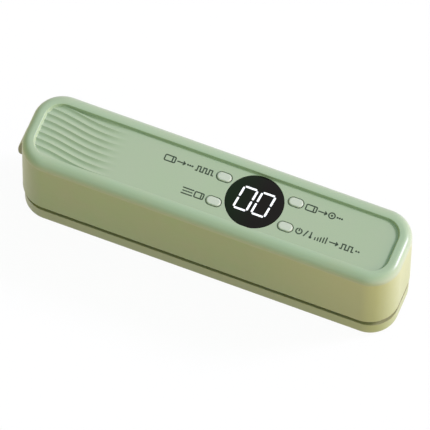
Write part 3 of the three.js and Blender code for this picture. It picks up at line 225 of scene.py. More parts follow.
def piece(name, points, faces, material, body, *nodes, matrix=None):
    """A mesh object that rides on a body and stands for the named nodes."""
    mesh = bpy.data.meshes.new(name)
    mesh.from_pydata([tuple(p) for p in points], [], faces)
    work = bmesh.new()
    work.from_mesh(mesh)
    bmesh.ops.remove_doubles(work, verts=work.verts, dist=MERGE_DISTANCE)
    bmesh.ops.recalc_face_normals(work, faces=work.faces)
    if matrix is not None:
        bmesh.ops.transform(work, matrix=matrix, verts=work.verts)
        bmesh.ops.recalc_face_normals(work, faces=work.faces)
    work.to_mesh(mesh)
    work.free()
    mesh.shade_smooth()
    mesh.set_sharp_from_angle(angle=SHARP_ANGLE)
    mesh.materials.append(material)
    obj = added(name, mesh)
    if body:
        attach(obj, body)
    if nodes:
        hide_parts(*nodes)
    return obj


def between(rings, closed):
    """Faces between rings that have as many points each, listed one ring after another."""
    count = len(rings[0])
    faces = []
    for level in range(len(rings) if closed else len(rings) - 1):
        low, high = level * count, (level + 1) % len(rings) * count
        for i in range(count):
            j = (i + 1) % count
            faces.append((low + i, low + j, high + j, high + i))
    return faces


def through(rings, closed):
    """Points and faces of a body through rings, which has a face at both ends unless it is closed."""
    points = [p for ring in rings for p in ring]
    faces = between(rings, closed)
    if not closed:
        first, last = range(len(rings[0])), range(len(points) - len(rings[0]), len(points))
        faces += [tuple(first), tuple(last)]
    return points, faces


def ring_body(name, plan, profile, material, body, *nodes, closed=True):
    """A profile, listed as (growth, height), carried round a plan that depends on its growth."""
    rings = [[(x, y, z) for x, y in plan(growth)] for growth, z in profile]
    return piece(name, *through(rings, closed), material, body, *nodes)


def filled(loops, inner=()):
    """Triangles that fill the first loop around the other loops, using some inner points too."""
    flat, borders = [], []
    for loop in loops:
        borders.append(list(range(len(flat), len(flat) + len(loop))))
        flat += [Vector(p[:2]) for p in loop]
    flat += [Vector(p[:2]) for p in inner]
    found = delaunay_2d_cdt(flat, [], borders, FILL_AROUND_HOLES, FILL_TOLERANCE)
    sources = [ids[0] for ids in found[3]]
    return [tuple(sources[i] for i in face) for face in found[2]]


def plate_mesh(outline, profile, holes=(), hole_profile=(), inner=()):
    """Points and faces of a plate through rings of an outline, listed as (growth, height) downwards.

    Each hole goes through it by the hole profile. A height is a number or a function of x and y.
    Inner points shape the top.
    """
    points, faces, tops, bottoms = [], [], [], []
    for loop, levels in [(outline, profile)] + [(hole, hole_profile) for hole in holes]:
        start = len(points)
        rings = [
            [(x, y, height(x, y) if callable(height) else height) for x, y in grown(loop, growth)]
            for growth, height in levels
        ]
        for ring in rings:
            points += ring
        faces += [tuple(start + i for i in face) for face in between(rings, False)]
        tops.append((start, rings[0]))
        bottoms.append((start + (len(rings) - 1) * len(loop), rings[-1]))
    for ends, extra in ((tops, list(inner)), (bottoms, [])):
        index = [start + i for start, ring in ends for i in range(len(ring))]
        index += [len(points) + i for i in range(len(extra))]
        points += extra
        faces += [tuple(index[i] for i in face) for face in filled([ring for _, ring in ends], extra)]
    return points, faces


def plate(name, outline, profile, material, body, *nodes, matrix=None, **details):
    mesh = plate_mesh(outline, profile, **details)
    return piece(name, *mesh, material, body, *nodes, matrix=matrix)


def merged(meshes):
    """Points and faces of several meshes as one."""
    points, faces = [], []
    for some_points, some_faces in meshes:
        start = len(points)
        points += some_points
        faces += [tuple(start + i for i in face) for face in some_faces]
    return points, faces


def cut_away(obj, cutters):
    """Takes the cutters out of an object, then deletes them."""
    for cutter in cutters:
        modifier = obj.modifiers.new("cut", "BOOLEAN")
        modifier.operation = "DIFFERENCE"
        modifier.solver = "EXACT"
        modifier.object = cutter
    bpy.context.view_layer.update()
    graph = bpy.context.evaluated_depsgraph_get()
    mesh = bpy.data.meshes.new_from_object(obj.evaluated_get(graph))
    obj.modifiers.clear()
    obj.data = mesh
    mesh.shade_smooth()
    mesh.set_sharp_from_angle(angle=SHARP_ANGLE)
    for cutter in cutters:
        bpy.data.objects.remove(cutter)


def even(obj):
    """Keeps the shading of flat faces flat beside their rounded edges."""
    modifier = obj.modifiers.new("even", "WEIGHTED_NORMAL")
    modifier.keep_sharp = True


# Materials
def tint(red, green, blue):
    """A screen colour from 0 to 255 as linear light, by the standard curve of screens."""
    parts = []
    for value in (red, green, blue):
        share = value / 255
        parts.append(share / 12.92 if share <= 0.04045 else ((share + 0.055) / 1.055) ** 2.4)
    return (*parts, 1)


class Nodes:
    """The node tree of a new material or world, with short calls to add to it."""

    def __init__(self, name, kind="materials", shader="Principled BSDF", place="Object"):
        self.owner = getattr(bpy.data, kind).new(name)
        self.owner.use_nodes = True
        self.tree = self.owner.node_tree
        self.shader = self.tree.nodes[shader]
        self.surface = self.shader.outputs[0].links[0].to_socket
        self.place = self.add("ShaderNodeTexCoord").outputs[place]

    def add(self, kind, inputs=None, **settings):
        node = self.tree.nodes.new(kind)
        for key, value in settings.items():
            setattr(node, key, value)
        self.feed(node, inputs or {})
        return node

    def feed(self, node, inputs):
        """Links other nodes' outputs to a node's inputs, or sets plain values there."""
        for key, value in inputs.items():
            if isinstance(value, bpy.types.NodeSocket):
                self.link(value, node.inputs[key])
            else:
                node.inputs[key].default_value = value

    def link(self, source, target):
        self.tree.links.new(source, target)

    def calculated(self, operation, first, second):
        return self.add("ShaderNodeMath", {0: first, 1: second}, operation=operation).outputs[0]

    def stretched(self, scale):
        inputs = {"Scale": scale, "Vector": self.place}
        return self.add("ShaderNodeMapping", inputs).outputs["Vector"]

    def noise(self, scale, detail=3, place=None):
        inputs = {"Scale": scale, "Detail": detail, "Vector": place or self.place}
        return self.add("ShaderNodeTexNoise", inputs).outputs["Fac"]

    def ranged(self, value, low, high, start=0.3, end=0.7):
        """From low to high while the value goes from start to end, by default a noise's usual span."""
        inputs = {"From Min": start, "From Max": end, "To Min": low, "To Max": high, "Value": value}
        return self.add("ShaderNodeMapRange", inputs).outputs["Result"]

    def mixed(self, factor, first, second):
        inputs = {"Factor": factor, 6: first, 7: second}
        return self.add("ShaderNodeMix", inputs, data_type="RGBA").outputs[2]

    def bump(self, height, distance):
        inputs = {"Distance": distance, "Strength": 1, "Height": height}
        return self.add("ShaderNodeBump", inputs).outputs["Normal"]

    def split(self):
        """The coordinates of the place, one by one."""
        return self.add("ShaderNodeSeparateXYZ", {0: self.place}).outputs

    def finish(self, colour, roughness, **others):
        inputs = {"Base Color": colour, "Roughness": roughness}
        inputs.update({key.replace("_", " "): value for key, value in others.items()})
        self.feed(self.shader, inputs)
        return self.owner


# Scales and details of noises: a drift or bloom of colour, an uneven gloss and a fine grain
DRIFT, GLOSS, GRAIN = (55, 4), (420, 4), (5200, 2)
BLOOM, RUBBER_GLOSS, RUBBER_GRAIN = (260, 6), (700, 3), (2600, 4)
GLOSS_SPREAD = 0.05
RUBBER_SPREAD = (-0.08, 0.06)
BRUSH_SPREAD = (-0.08, 0.1)
RUBBER_GRAIN_DEPTH = 0.04 * MM
BRUSH_DEPTH = 0.008 * MM


def moulded(name, colour, other, roughness, grain=0.012 * MM):
    """Moulded plastic: a faint drift of colour, fine grain and slightly uneven gloss."""
    n = Nodes(name)
    base = n.mixed(n.ranged(n.noise(*DRIFT), 0, 1), colour, other)
    rough = n.ranged(n.noise(*GLOSS), roughness - GLOSS_SPREAD, roughness + GLOSS_SPREAD)
    return n.finish(base, rough, Normal=n.bump(n.noise(*GRAIN), grain))


def rubbery(name, colour, other, roughness):
    """Rubber or silicone: soft gloss, a dusty bloom and a coarser grain."""
    n = Nodes(name)
    base = n.mixed(n.ranged(n.noise(*BLOOM), 0, 1), colour, other)
    rough = n.ranged(n.noise(*RUBBER_GLOSS), *(roughness + more for more in RUBBER_SPREAD))
    return n.finish(base, rough, Normal=n.bump(n.noise(*RUBBER_GRAIN), RUBBER_GRAIN_DEPTH))


def brushed(name, colour, other, roughness, stretch):
    """Metal with fine lines along one axis, given by the smallest stretch."""
    n = Nodes(name)
    lines = n.noise(1, 5, n.stretched(stretch))
    base = n.mixed(n.ranged(lines, 0, 1), colour, other)
    rough = n.ranged(lines, *(roughness + more for more in BRUSH_SPREAD))
    return n.finish(base, rough, Normal=n.bump(lines, BRUSH_DEPTH), Metallic=1)


TOP_TONES = ((0.357, 0.470, 0.294, 1), (0.374, 0.462, 0.284, 1), (0.340, 0.478, 0.300, 1))
# A paler tone: painted light where the top rounds over
EDGE_LIGHT_TONE = (0.465, 0.575, 0.445, 1)
DEEP_TONE = (0.25, 0.33, 0.15, 1)
DEEP_SHARE = 0.3
# A dark olive: painted shade of the gap at the split line, over a span of heights beside it
GAP_SHADE_COLOUR = (0.32, 0.335, 0.17, 1)
GAP_SHADE_NEAR = 0.12 * MM
GAP_SHADE_FAR = 0.3 * MM
TOP_PATCHES, TOP_MOTTLE, SIDE_MOTTLE, SHELL_GLOSS = (24, 2), (85, 3), (60, 2), (300, 4)
SHELL_ROUGHNESS = (0.31, 0.38)
SHELL_GRAIN = 0.01 * MM

# Spans along the body and up it over which its tones change: along it the painted reflection at the
# left end and the painted warm light towards the right end, up it the painted light where the top
# rounds over and then the top's own tones
LEFT_REFLECTION_SPAN = (shell_low.x + 13 * MM, shell_low.x + 4 * MM)
RIGHT_WARM_LIGHT_SPAN = (30 * MM, 100 * MM)
EDGE_LOW = (TOP_Z - 6.0 * MM, TOP_Z - 4.5 * MM)
EDGE_HIGH = (TOP_Z - 3.0 * MM, TOP_Z - 0.6 * MM)


def shell_plastic(name, front, mottle, left, right, seam):
    """Body plastic: sage on top, and on the sides a mottled olive that is partly its own tone and partly
    painted warm bounce light, with a painted golden reflection at the left end and painted warm light
    towards the right end.

    It is paler where the top rounds over, a painted light that reaches into the recess wall, and deeper
    towards the split line, and the span of heights beside that line takes on painted shade of the gap.
    """
    n = Nodes(name)
    top = n.mixed(n.ranged(n.noise(*TOP_PATCHES), 0, 1), *TOP_TONES[:2])
    top = n.mixed(n.ranged(n.noise(*TOP_MOTTLE), 0, 0.5), top, TOP_TONES[2])
    along, _, height = n.split()
    side = n.mixed(n.ranged(n.noise(*SIDE_MOTTLE), 0, 1), front, mottle)
    # Painted golden reflection at the left end
    side = n.mixed(n.ranged(along, 0, 1, *LEFT_REFLECTION_SPAN), side, left)
    # Painted warm light towards the right end
    side = n.mixed(n.ranged(along, 0, 1, *RIGHT_WARM_LIGHT_SPAN), side, right)
    side = n.mixed(n.ranged(height, DEEP_SHARE, 0, EDGE_Z, EDGE_LOW[0]), side, DEEP_TONE)
    # Painted light where the top rounds over
    side = n.mixed(n.ranged(height, 0, 1, *EDGE_LOW), side, EDGE_LIGHT_TONE)
    base = n.mixed(n.ranged(height, 0, 1, *EDGE_HIGH), side, top)
    # Painted shade of the gap beside the split line
    base = n.mixed(n.ranged(height, 0, 1, *seam), base, GAP_SHADE_COLOUR)
    rough = n.ranged(n.noise(*SHELL_GLOSS), *SHELL_ROUGHNESS)
    return n.finish(base, rough, Normal=n.bump(n.noise(*GRAIN), SHELL_GRAIN))


LENS_TONES = ((0.001, 0.014, 0.001, 1), (0.005, 0.004, 0.003, 1))
LENS_TONE_SPAN = (lens_low.x, lens_low.x + (lens_high.x - lens_low.x) * 0.6)
LENS_RIPPLE = 0.002 * MM


def lens_glass():
    """Smoked window, a little greener towards its left."""
    n = Nodes("smoked_window")
    base = n.mixed(n.ranged(n.split()["X"], 0, 1, *LENS_TONE_SPAN), *LENS_TONES)
    rough = n.ranged(n.noise(500, 4), 0.16, 0.22)
    ripple = n.bump(n.noise(900, 2), LENS_RIPPLE)
    return n.finish(base, rough, Normal=ripple, Specular_IOR_Level=0.15)


def digit_light():
    n = Nodes("digit_light")
    base = n.mixed(n.ranged(n.noise(1500, 2), 0, 1), tint(250, 252, 250), tint(240, 244, 240))
    rough = n.ranged(n.noise(900, 2), 0.4, 0.5)
    return n.finish(base, rough, Emission_Color=base, Emission_Strength=0.35)


def circuit_board():
    """Green board with copper tracks under its lacquer."""
    n = Nodes("circuit_board")
    brick = n.add("ShaderNodeTexBrick", {
        "Color1": tint(20, 92, 52), "Color2": tint(26, 104, 60), "Mortar": tint(62, 142, 82),
        "Scale": 260, "Mortar Size": 0.05, "Vector": n.place,
    }).outputs
    base = n.mixed(n.ranged(n.noise(160, 3), 0, 0.4), brick["Color"], tint(18, 78, 46))
    rough = n.ranged(n.noise(300), 0.3, 0.42)
    return n.finish(base, rough, Normal=n.bump(brick["Fac"], 0.03 * MM))


def woven_tape():
    """Brown glass-cloth tape with a fine weave."""
    n = Nodes("woven_tape")
    waves = []
    for axis in ("X", "Y"):
        inputs = {"Scale": 420, "Vector": n.place}
        waves.append(n.add("ShaderNodeTexWave", inputs, bands_direction=axis).outputs["Fac"])
    weave = n.calculated("MULTIPLY", *waves)
    base = n.mixed(weave, tint(112, 78, 44), tint(150, 112, 68))
    return n.finish(base, n.ranged(n.noise(400), 0.45, 0.6), Normal=n.bump(weave, 0.06 * MM))


def sleeve():
    """Shrink sleeve of the battery cell, faintly wrinkled."""
    n = Nodes("cell_sleeve")
    wrinkle = n.noise(1, 4, n.stretched((40, 900, 900)))
    base = n.mixed(n.ranged(wrinkle, 0, 1), tint(44, 92, 148), tint(36, 80, 134))
    return n.finish(base, n.ranged(n.noise(500), 0.28, 0.4), Normal=n.bump(wrinkle, 0.05 * MM))


# Tones: the sides' olive and its mottle, a painted golden reflection for the left end, painted warm
# light for the right end, then the heights of painted shade of the gap
SAGE = shell_plastic(
    "shell_sage", (0.348, 0.492, 0.228, 1), (0.374, 0.470, 0.243, 1), (0.368, 0.452, 0.212, 1),
    (0.490, 0.578, 0.318, 1), (EDGE_Z + GAP_SHADE_FAR, EDGE_Z + GAP_SHADE_NEAR),
)
PANEL = moulded("panel_sage", (0.369, 0.453, 0.292, 1), (0.359, 0.460, 0.285, 1), 0.5)
# Tones as for the shell; the heights of painted shade of the gap lie at the top of the cover
COVER = shell_plastic(
    "cover_sage", (0.394, 0.475, 0.270, 1), (0.410, 0.465, 0.278, 1), (0.400, 0.450, 0.240, 1),
    (0.450, 0.545, 0.290, 1), (COVER_TOP_Z - GAP_SHADE_FAR, COVER_TOP_Z - GAP_SHADE_NEAR),
)
LENS = lens_glass()
DIGITS = digit_light()
LEVER = moulded("lever_olive", (0.400, 0.430, 0.300, 1), (0.390, 0.425, 0.290, 1), 0.45)
CAP = moulded("cap_pale", (0.530, 0.588, 0.458, 1), (0.512, 0.578, 0.440, 1), 0.45)
INK = moulded("ink_green", (0.018, 0.038, 0.014, 1), (0.024, 0.046, 0.019, 1), 0.6, 0.004 * MM)
BLACK = moulded("black_plastic", tint(34, 36, 38), tint(44, 46, 48), 0.5, 0.02 * MM)
NYLON = moulded("olive_nylon", tint(98, 100, 68), tint(90, 92, 62), 0.6, 0.02 * MM)
SILICONE = rubbery("silicone_grey", tint(176, 180, 172), tint(160, 166, 158), 0.6)
RUBBER = rubbery("rubber_black", tint(34, 35, 36), tint(48, 48, 48), 0.8)
PRESS = rubbery("press_rubber", tint(52, 50, 48), tint(66, 62, 58), 0.7)
METALS = {
    "bright_steel": (tint(196, 199, 202), tint(176, 180, 184), 0.3, (900, 900, 60)),
    "heating_strip": (tint(168, 160, 146), tint(146, 136, 122), 0.35, (30, 1800, 900)),
    "spring_steel": (tint(158, 164, 170), tint(138, 144, 150), 0.32, (900, 900, 50)),
    "motor_can": (tint(188, 190, 192), tint(168, 170, 174), 0.34, (1200, 60, 60)),
    "brass": (tint(196, 164, 92), tint(178, 146, 76), 0.32, (1200, 90, 90)),
}

# The materials of the slots, and of the nodes that have one of their own
looks = {
    "shell_green": SAGE, "panel_green": PANEL, "cover_green": COVER, "smoked_lens": LENS,
    "digit_white": BLACK, "button_pale": CAP, "black_plastic": BLACK, "grey_nylon": NYLON,
    "grey_silicone": SILICONE, "black_rubber": RUBBER, "circuit_board": circuit_board(),
    "brown_tape": woven_tape(), "cell_sleeve": sleeve(),
    "red_lead": rubbery("wire_red", tint(160, 36, 30), tint(146, 30, 26), 0.5),
    "black_lead": rubbery("wire_black", tint(28, 28, 30), tint(38, 38, 40), 0.5),
    "white_lead": rubbery("wire_white", tint(226, 226, 220), tint(212, 212, 204), 0.5),
    "latch_lever": LEVER, "press_strip": PRESS,
    **{name: brushed(name, *values) for name, values in METALS.items()},
}


def dress_nodes():
    """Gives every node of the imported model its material."""
    for name, obj in frame["nodes"].items():
        obj.data.materials.clear()
        obj.data.materials.append(looks.get(name, looks[slots[name]]))


# Upper shell
def quarter(x, z, run, rise, start, end, steps, fullness=1):
    """Points of an elliptical corner of a profile, between two angles in degrees."""
    span = (end - start) / steps
    points = []
    for i in range(steps + 1):
        turn = math.radians(start + span * i)
        across, up = (math.copysign(abs(v) ** fullness, v) for v in (math.cos(turn), math.sin(turn)))
        points.append((x + run * across, z + rise * up))
    return points


# Insets along the sides, and the insets that go with them at the right and left ends: there the rim
# rounds over sooner, and the recess wall of the left end slopes
SIDE_INSETS = (0, RIM_RUN, RIM - RIM_LIP, RIM, RIM + WALL_SLOPE, RIM + LEDGE)
RIGHT_INSETS = (0, 4.6 * MM, 6.6 * MM, RIM, RIM + WALL_SLOPE, RIM + LEDGE)
LEFT_INSETS = (0, 4.6 * MM, 6.1 * MM, 6.55 * MM, 7.4 * MM, RIM + LEDGE)


def shell_plan(growth):
    """The plan at a growth along the sides, with the ends that go with it."""
    left = shell_low.x + interp(-growth, SIDE_INSETS, LEFT_INSETS)
    right = shell_high.x - interp(-growth, SIDE_INSETS, RIGHT_INSETS)
    return plan_between(left, right, -growth)


def upper_shell():
    r, lip = EDGE_ROUND, RIM_LIP
    lip_start = RIM - lip
    profile = quarter(-r, EDGE_Z + r, r, r, -90, 0, EDGE_STEPS)
    profile += quarter(-RIM_RUN, TOP_Z - RIM_RISE, RIM_RUN, RIM_RISE, 0, 90, RIM_STEPS, RIM_FULLNESS)
    profile.append((-(RIM_RUN + lip_start) / 2, TOP_Z - RIM_MIDDLE_DIP))
    profile += quarter(-lip_start, TOP_Z - RIM_DIP - lip, -lip, lip, LIP_TURN, 0, SOFT_STEPS)
    foot_of_wall, ledge = -RIM - WALL_SLOPE, -RIM - LEDGE
    profile += [
        (foot_of_wall, PANEL_TOP_Z), (foot_of_wall, LEDGE_Z), (ledge, LEDGE_Z), (ledge, ROOF_Z),
        (-WALL - ROOF_CHAMFER, ROOF_Z), (-WALL, ROOF_Z - ROOF_CHAMFER), (-WALL, EDGE_Z),
    ]
    shell = ring_body("sage_upper_shell", shell_plan, profile, SAGE, "housing", "upper_shell")
    cut_away(shell, [latch_slot(), socket_mouth(), *vents()])
    even(shell)


# Holes in the walls
MOUTH_FLARE = 0.35 * MM
OVERRUN = 1 * MM
LEVER_GAP = 0.4 * MM
SLOT_GAP = 0.7 * MM
SLOT_OVERRUN = 8 * MM
SLOT_CORNER = 1.2 * MM
SOCKET_GAP = 0.3 * MM
VENT_COUNT = 4
VENT_PITCH = 4 * MM
VENT_WIDTH = 1.4 * MM
VENT_HEIGHT = 9 * MM
VENT_CORNER = VENT_WIDTH / 2 - 0.02 * MM
VENT_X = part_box("pump_head")[0].x + 12 * MM
VENT_Z = EDGE_Z + 14.6 * MM


def mouth(name, outline, depth, matrix):
    """A cutter for a hole in a wall, with a small flare at the surface, where its height is 0."""
    profile = [(MOUTH_FLARE + OVERRUN, OVERRUN), (0, -MOUTH_FLARE), (0, -depth - OVERRUN)]
    return plate(name, outline, profile, SAGE, None, matrix=matrix)


def lever_mouth(name, x, bottom, top, corner, steps, depth):
    """A cutter for the latch lever, in the wall of the left end."""
    width = lever_high.y - lever_low.y + LEVER_GAP * 2
    outline = rounded_rectangle(0, (bottom + top) / 2, width, top - bottom, corner, steps)
    return mouth(name, outline, depth, laid(-Y, Z, -X, (x, 0, 0)))


def latch_slot():
    bottom, top = EDGE_Z - SLOT_OVERRUN, lever_high.z + SLOT_GAP
    return lever_mouth("latch_slot", shell_low.x, bottom, top, SLOT_CORNER, SOFT_STEPS, WALL)


def back_mouth(name, outline, x):
    """A cutter in the back wall, at a place along it."""
    return mouth(name, outline, WALL, laid(-X, Z, Y, (x, shell_high.y, 0)))


def socket_mouth():
    low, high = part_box("charge_socket")
    length, width = high.x - low.x + SOCKET_GAP * 2, high.z - low.z + SOCKET_GAP * 2
    return back_mouth("socket_mouth", pill(0, (low.z + high.z) / 2, length, width), (low.x + high.x) / 2)


def vents():
    outline = rounded_rectangle(0, VENT_Z, VENT_WIDTH, VENT_HEIGHT, VENT_CORNER, SOFT_STEPS)
    start = VENT_X - (VENT_COUNT - 1) / 2 * VENT_PITCH
    return [back_mouth(f"vent_{i}", outline, start + i * VENT_PITCH) for i in range(VENT_COUNT)]


# Recessed panel with its thumb grip
OUTLINE_SPACING = 0.5 * MM


def flute_line(x):
    return FLUTE_SWAY * math.cos(math.pi * (x - FLUTE_START_X) / FLUTE_SWAY_LENGTH)


def flute_strength(x):
    t = min(max((x - FLUTE_START_X - FLUTE_FULL) / FLUTE_FADE, 0), 1)
    return 1 - t * t * (3 - 2 * t)


def panel_height(x, y):
    """Height of the panel: concave flutes whose crests are slightly rounded."""
    phase = (y - flute_line(x) + FLUTE_SHIFT) / FLUTE_PITCH
    off = abs(phase - math.floor(phase) - 0.5) * 2
    rise = off * off
    if off > CREST_SHARE:
        over = (off - CREST_SHARE) / (1 - CREST_SHARE)
        slope = 2 * CREST_SHARE * (1 - CREST_SHARE)
        rise = CREST_SHARE ** 2 + slope * (over - over * over / 2)
    return PANEL_TOP_Z + flute_strength(x) * FLUTE_DEPTH * (rise - 0.5)


def panel_under_edge(x, y):
    return panel_height(x, y) - HOLE_EDGE


def resampled(points, spacing):
    """The closed outline with extra points on its long runs."""
    result = []
    for i, point in enumerate(points):
        here, there = Vector(point), Vector(points[(i + 1) % len(points)])
        count = max(1, round((there - here).length / spacing))
        result += [tuple(here.lerp(there, step / count)) for step in range(count)]
    return result


def grip_points():
    """Inner points of the panel's mesh in the grip, in rows that follow the flutes."""
    points = []
    edge = FLUTE_PITCH / FLUTE_FACETS * FLUTE_MARGIN
    half, corner = WIDTH / 2 - PANEL_INSET, CORNER - PANEL_INSET
    columns = round((FLUTE_FULL + FLUTE_FADE + PANEL_END_TUCK) / FLUTE_COLUMN)
    rows = round((WIDTH / FLUTE_PITCH + 2) * FLUTE_FACETS)
    for i in range(1, columns + 1):
        x = PANEL_LEFT_X + i * FLUTE_COLUMN
        into = max(corner - (x - PANEL_LEFT_X), 0)
        reach = half - corner + math.sqrt(corner ** 2 - into ** 2)
        for j in range(-rows // 2, rows // 2 + 1):
            y = j * FLUTE_PITCH / FLUTE_FACETS - FLUTE_SHIFT + flute_line(x)
            if abs(y) < reach - edge:
                points.append((x, y, panel_height(x, y)))
    return points


def button_hole(key, slack):
    return pill(*middle(f"button_{key}"), BUTTON_LENGTH + slack * 2, BUTTON_WIDTH + slack * 2)


def control_panel():
    """The panel reaches a little under the recess walls, and further under the sloping one."""
    plan = plan_between(PANEL_LEFT_X, shell_high.x - PANEL_INSET, PANEL_INSET)
    holes = [button_hole(key, BUTTON_SLACK) for key in KEYS]
    holes.append(circle(LENS_X, 0, LENS_RADIUS + LENS_GAP))
    plate(
        "sage_control_panel", resampled(plan, OUTLINE_SPACING),
        [(0, panel_height), (0, PANEL_BOTTOM_Z)], PANEL, "housing", "control_panel",
        holes=holes, inner=grip_points(),
        hole_profile=[(HOLE_EDGE, panel_height), (0, panel_under_edge), (0, PANEL_BOTTOM_Z)],
    )


# Display window and its digits
DIGIT_HEIGHT = 15.3 * MM
DIGIT_WIDTH = 7.6 * MM
DIGIT_PITCH = 10.4 * MM
DIGIT_STROKE = 1.25 * MM
DIGIT_LEAN = 1.6 * MM
DIGIT_GAP = 0.4 * MM
DIGIT_EDGE = 0.08 * MM
DIGIT_SLACK = 0.02 * MM
DIGIT_STEPS = 7
MODULE_GAP = 0.2 * MM
MODULE_EDGE = 0.4 * MM
MODULE_CORNER = 1 * MM


def capsule(x0, y0, x1, y1, width, steps):
    """A stick with round ends between two points."""
    turn = math.degrees(math.atan2(y1 - y0, x1 - x0))
    ahead = arc(x1, y1, width / 2, turn - 90, turn + 90, steps)
    return ahead + arc(x0, y0, width / 2, turn + 90, turn + 270, steps)


def digit_bars():
    """Outlines of the lit bars of both digits, each a stick that stops short of its neighbours."""
    bars = []
    top = (DIGIT_HEIGHT - DIGIT_STROKE) / 2
    trim = DIGIT_STROKE / 2 + DIGIT_GAP
    for side in (-1, 1):
        centre = LENS_X + side * DIGIT_PITCH / 2
        left, right = centre - DIGIT_WIDTH / 2, centre + DIGIT_WIDTH / 2
        spans = [(left + trim, level, right - trim, level) for level in (top, -top)]
        for x in (left, right):
            spans += [(x, trim, x, top - trim), (x, -top + trim, x, -trim)]
        for x0, y0, x1, y1 in spans:
            lean0, lean1 = DIGIT_LEAN * y0 / DIGIT_HEIGHT, DIGIT_LEAN * y1 / DIGIT_HEIGHT
            bars.append(capsule(x0 + lean0, y0, x1 + lean1, y1, DIGIT_STROKE, DIGIT_STEPS))
    return bars


def display():
    bars = digit_bars()
    top, bottom = lens_high.z, lens_low.z
    bevel = LENS_EDGE * EDGE_MIDDLE
    levels = [
        (-LENS_EDGE, top), (-bevel, top - bevel), (0, top - LENS_EDGE),
        (0, FLANGE_Z), (LENS_FLANGE, FLANGE_Z), (LENS_FLANGE, bottom),
    ]
    plate(
        "smoked_window", circle(LENS_X, 0, LENS_RADIUS), levels, LENS, "housing", "display_lens",
        holes=bars, hole_profile=[(0, top), (0, bottom)],
    )
    low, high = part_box("display_module")
    block_top, edge = bottom - MODULE_GAP, MODULE_EDGE
    size = high - low
    block = rounded_rectangle(LENS_X, 0, size.x, size.y, MODULE_CORNER, SOFT_STEPS)
    levels = [(-edge, block_top), (0, block_top - edge), (0, low.z + edge), (-edge, low.z)]
    plate("display_block", block, levels, BLACK, "housing", "display_module")
    slack = -DIGIT_SLACK
    levels = [(slack - DIGIT_EDGE, top), (slack, top - DIGIT_EDGE), (slack, block_top)]
    mesh = merged([plate_mesh(bar, levels) for bar in bars])
    digits = piece("lit_digits", *mesh, DIGITS, "housing")


# Buttons, with the insets and drops of their crown in millimetres
CAP_CROWN = ((1.1, 0), (0.62, 0.02), (0.4, 0.07), (0.15, 0.26), (0.04, 0.42), (0, 0.6))
CAP_FLANGE = 0.9 * MM
CAP_FLANGE_THICKNESS = 1.5 * MM
STEM_RADIUS = 1.9 * MM
STEM_OVERLAP = 0.1 * MM
STEM_EDGE = 0.2 * MM
STEM_STEPS = 32


def button_cap(key):
    low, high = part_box(f"button_{key}")
    x, y = middle(f"button_{key}")
    bottom = FLANGE_Z - CAP_FLANGE_THICKNESS
    levels = [(-inset * MM, high.z - drop * MM) for inset, drop in CAP_CROWN]
    levels += [(0, FLANGE_Z), (CAP_FLANGE, FLANGE_Z), (CAP_FLANGE, bottom)]
    outline = pill(x, y, BUTTON_LENGTH, BUTTON_WIDTH)
    cap = plate(f"cap_{key}", outline, levels, CAP, f"{key}_key", f"button_{key}")
    levels = [(0, bottom + STEM_OVERLAP), (0, low.z + STEM_EDGE), (-STEM_EDGE, low.z)]
    stem = plate(f"stem_{key}", circle(x, y, STEM_RADIUS, STEM_STEPS), levels, CAP, f"{key}_key")
    even(cap)


# Printed signs beside the buttons: strokes of ink with round ends, never letters
INK_WIDTH = 0.78 * MM
# Width of the ring of ink round each button: painted shade of its gap
SHADE_RING_WIDTH = 0.32 * MM
INK_Z = PANEL_TOP_Z + 0.005 * MM
INK_RISE = 0.03 * MM
INK_SECTION = ((0.5, 0), (0.46, 0.7), (0.3, 1), (-0.3, 1), (-0.46, 0.7), (-0.5, 0))
INK_BEND = 0.5
END_TURNS = (30, 55, 75)
END_LEAST = 0.5
HALF = 1.75 * MM

# Proportions of the signs: lengths, and shares of their half height or of their own length
BAG_CORNER = 0.6 * MM
BAG_SEAM = 0.74
BAG_SEAM_REACH = 0.62
ARROW_HEAD = 0.55
WAVE_REACH = 0.85
DASH = (0.25, 0.75)
DOT_RADIUS = 0.2 * MM
WHEEL_HUB = 0.28 * MM
POWER_RING = 0.95
POWER_TURNS = (125, 415)
POWER_BAR_START = 0.15
SLASH_LEAN = 0.8
BULB_RADIUS = 0.42 * MM
LEAST_LEVEL = 0.35
DOT_STEPS, BULB_STEPS, POWER_STEPS, WHEEL_STEPS = 10, 12, 30, 36


def ink_ring(centre, side, width, rise=INK_RISE):
    """The section of a stroke at one place, with shares of its width and rise."""
    return [(*(centre + side * (share * width)), INK_Z + up * rise) for share, up in INK_SECTION]


def round_end(inner, end, width):
    """Rings that close a stroke past its end point with a half circle; a start has a negative width."""
    ahead = (end - inner).normalized()
    side = Vector((ahead.y, -ahead.x))
    rings = []
    for turn in END_TURNS:
        out, narrow = math.sin(math.radians(turn)), math.cos(math.radians(turn))
        centre = end + ahead * (abs(width) / 2 * out)
        rings.append(ink_ring(centre, side, width * narrow, INK_RISE * max(narrow, END_LEAST)))
    return rings


def stroke(path, closed, width):
    """Points and faces of a flat stroke of ink."""
    path = [Vector(p) for p in path]
    rings = []
    for i, here in enumerate(path):
        before = (here - path[i - 1]).normalized()
        after = (path[(i + 1) % len(path)] - here).normalized()
        if not closed:
            before = before if i else after
            after = after if i < len(path) - 1 else before
        side, gain = bend(before, after, INK_BEND)
        rings.append(ink_ring(here, side, width / gain))
    if not closed:
        first = round_end(path[1], path[0], -width)[::-1]
        rings = first + rings + round_end(path[-2], path[-1], width)
    return through(rings, closed)


def line(*points):
    return points, False, INK_WIDTH


def loop(points):
    return points, True, INK_WIDTH


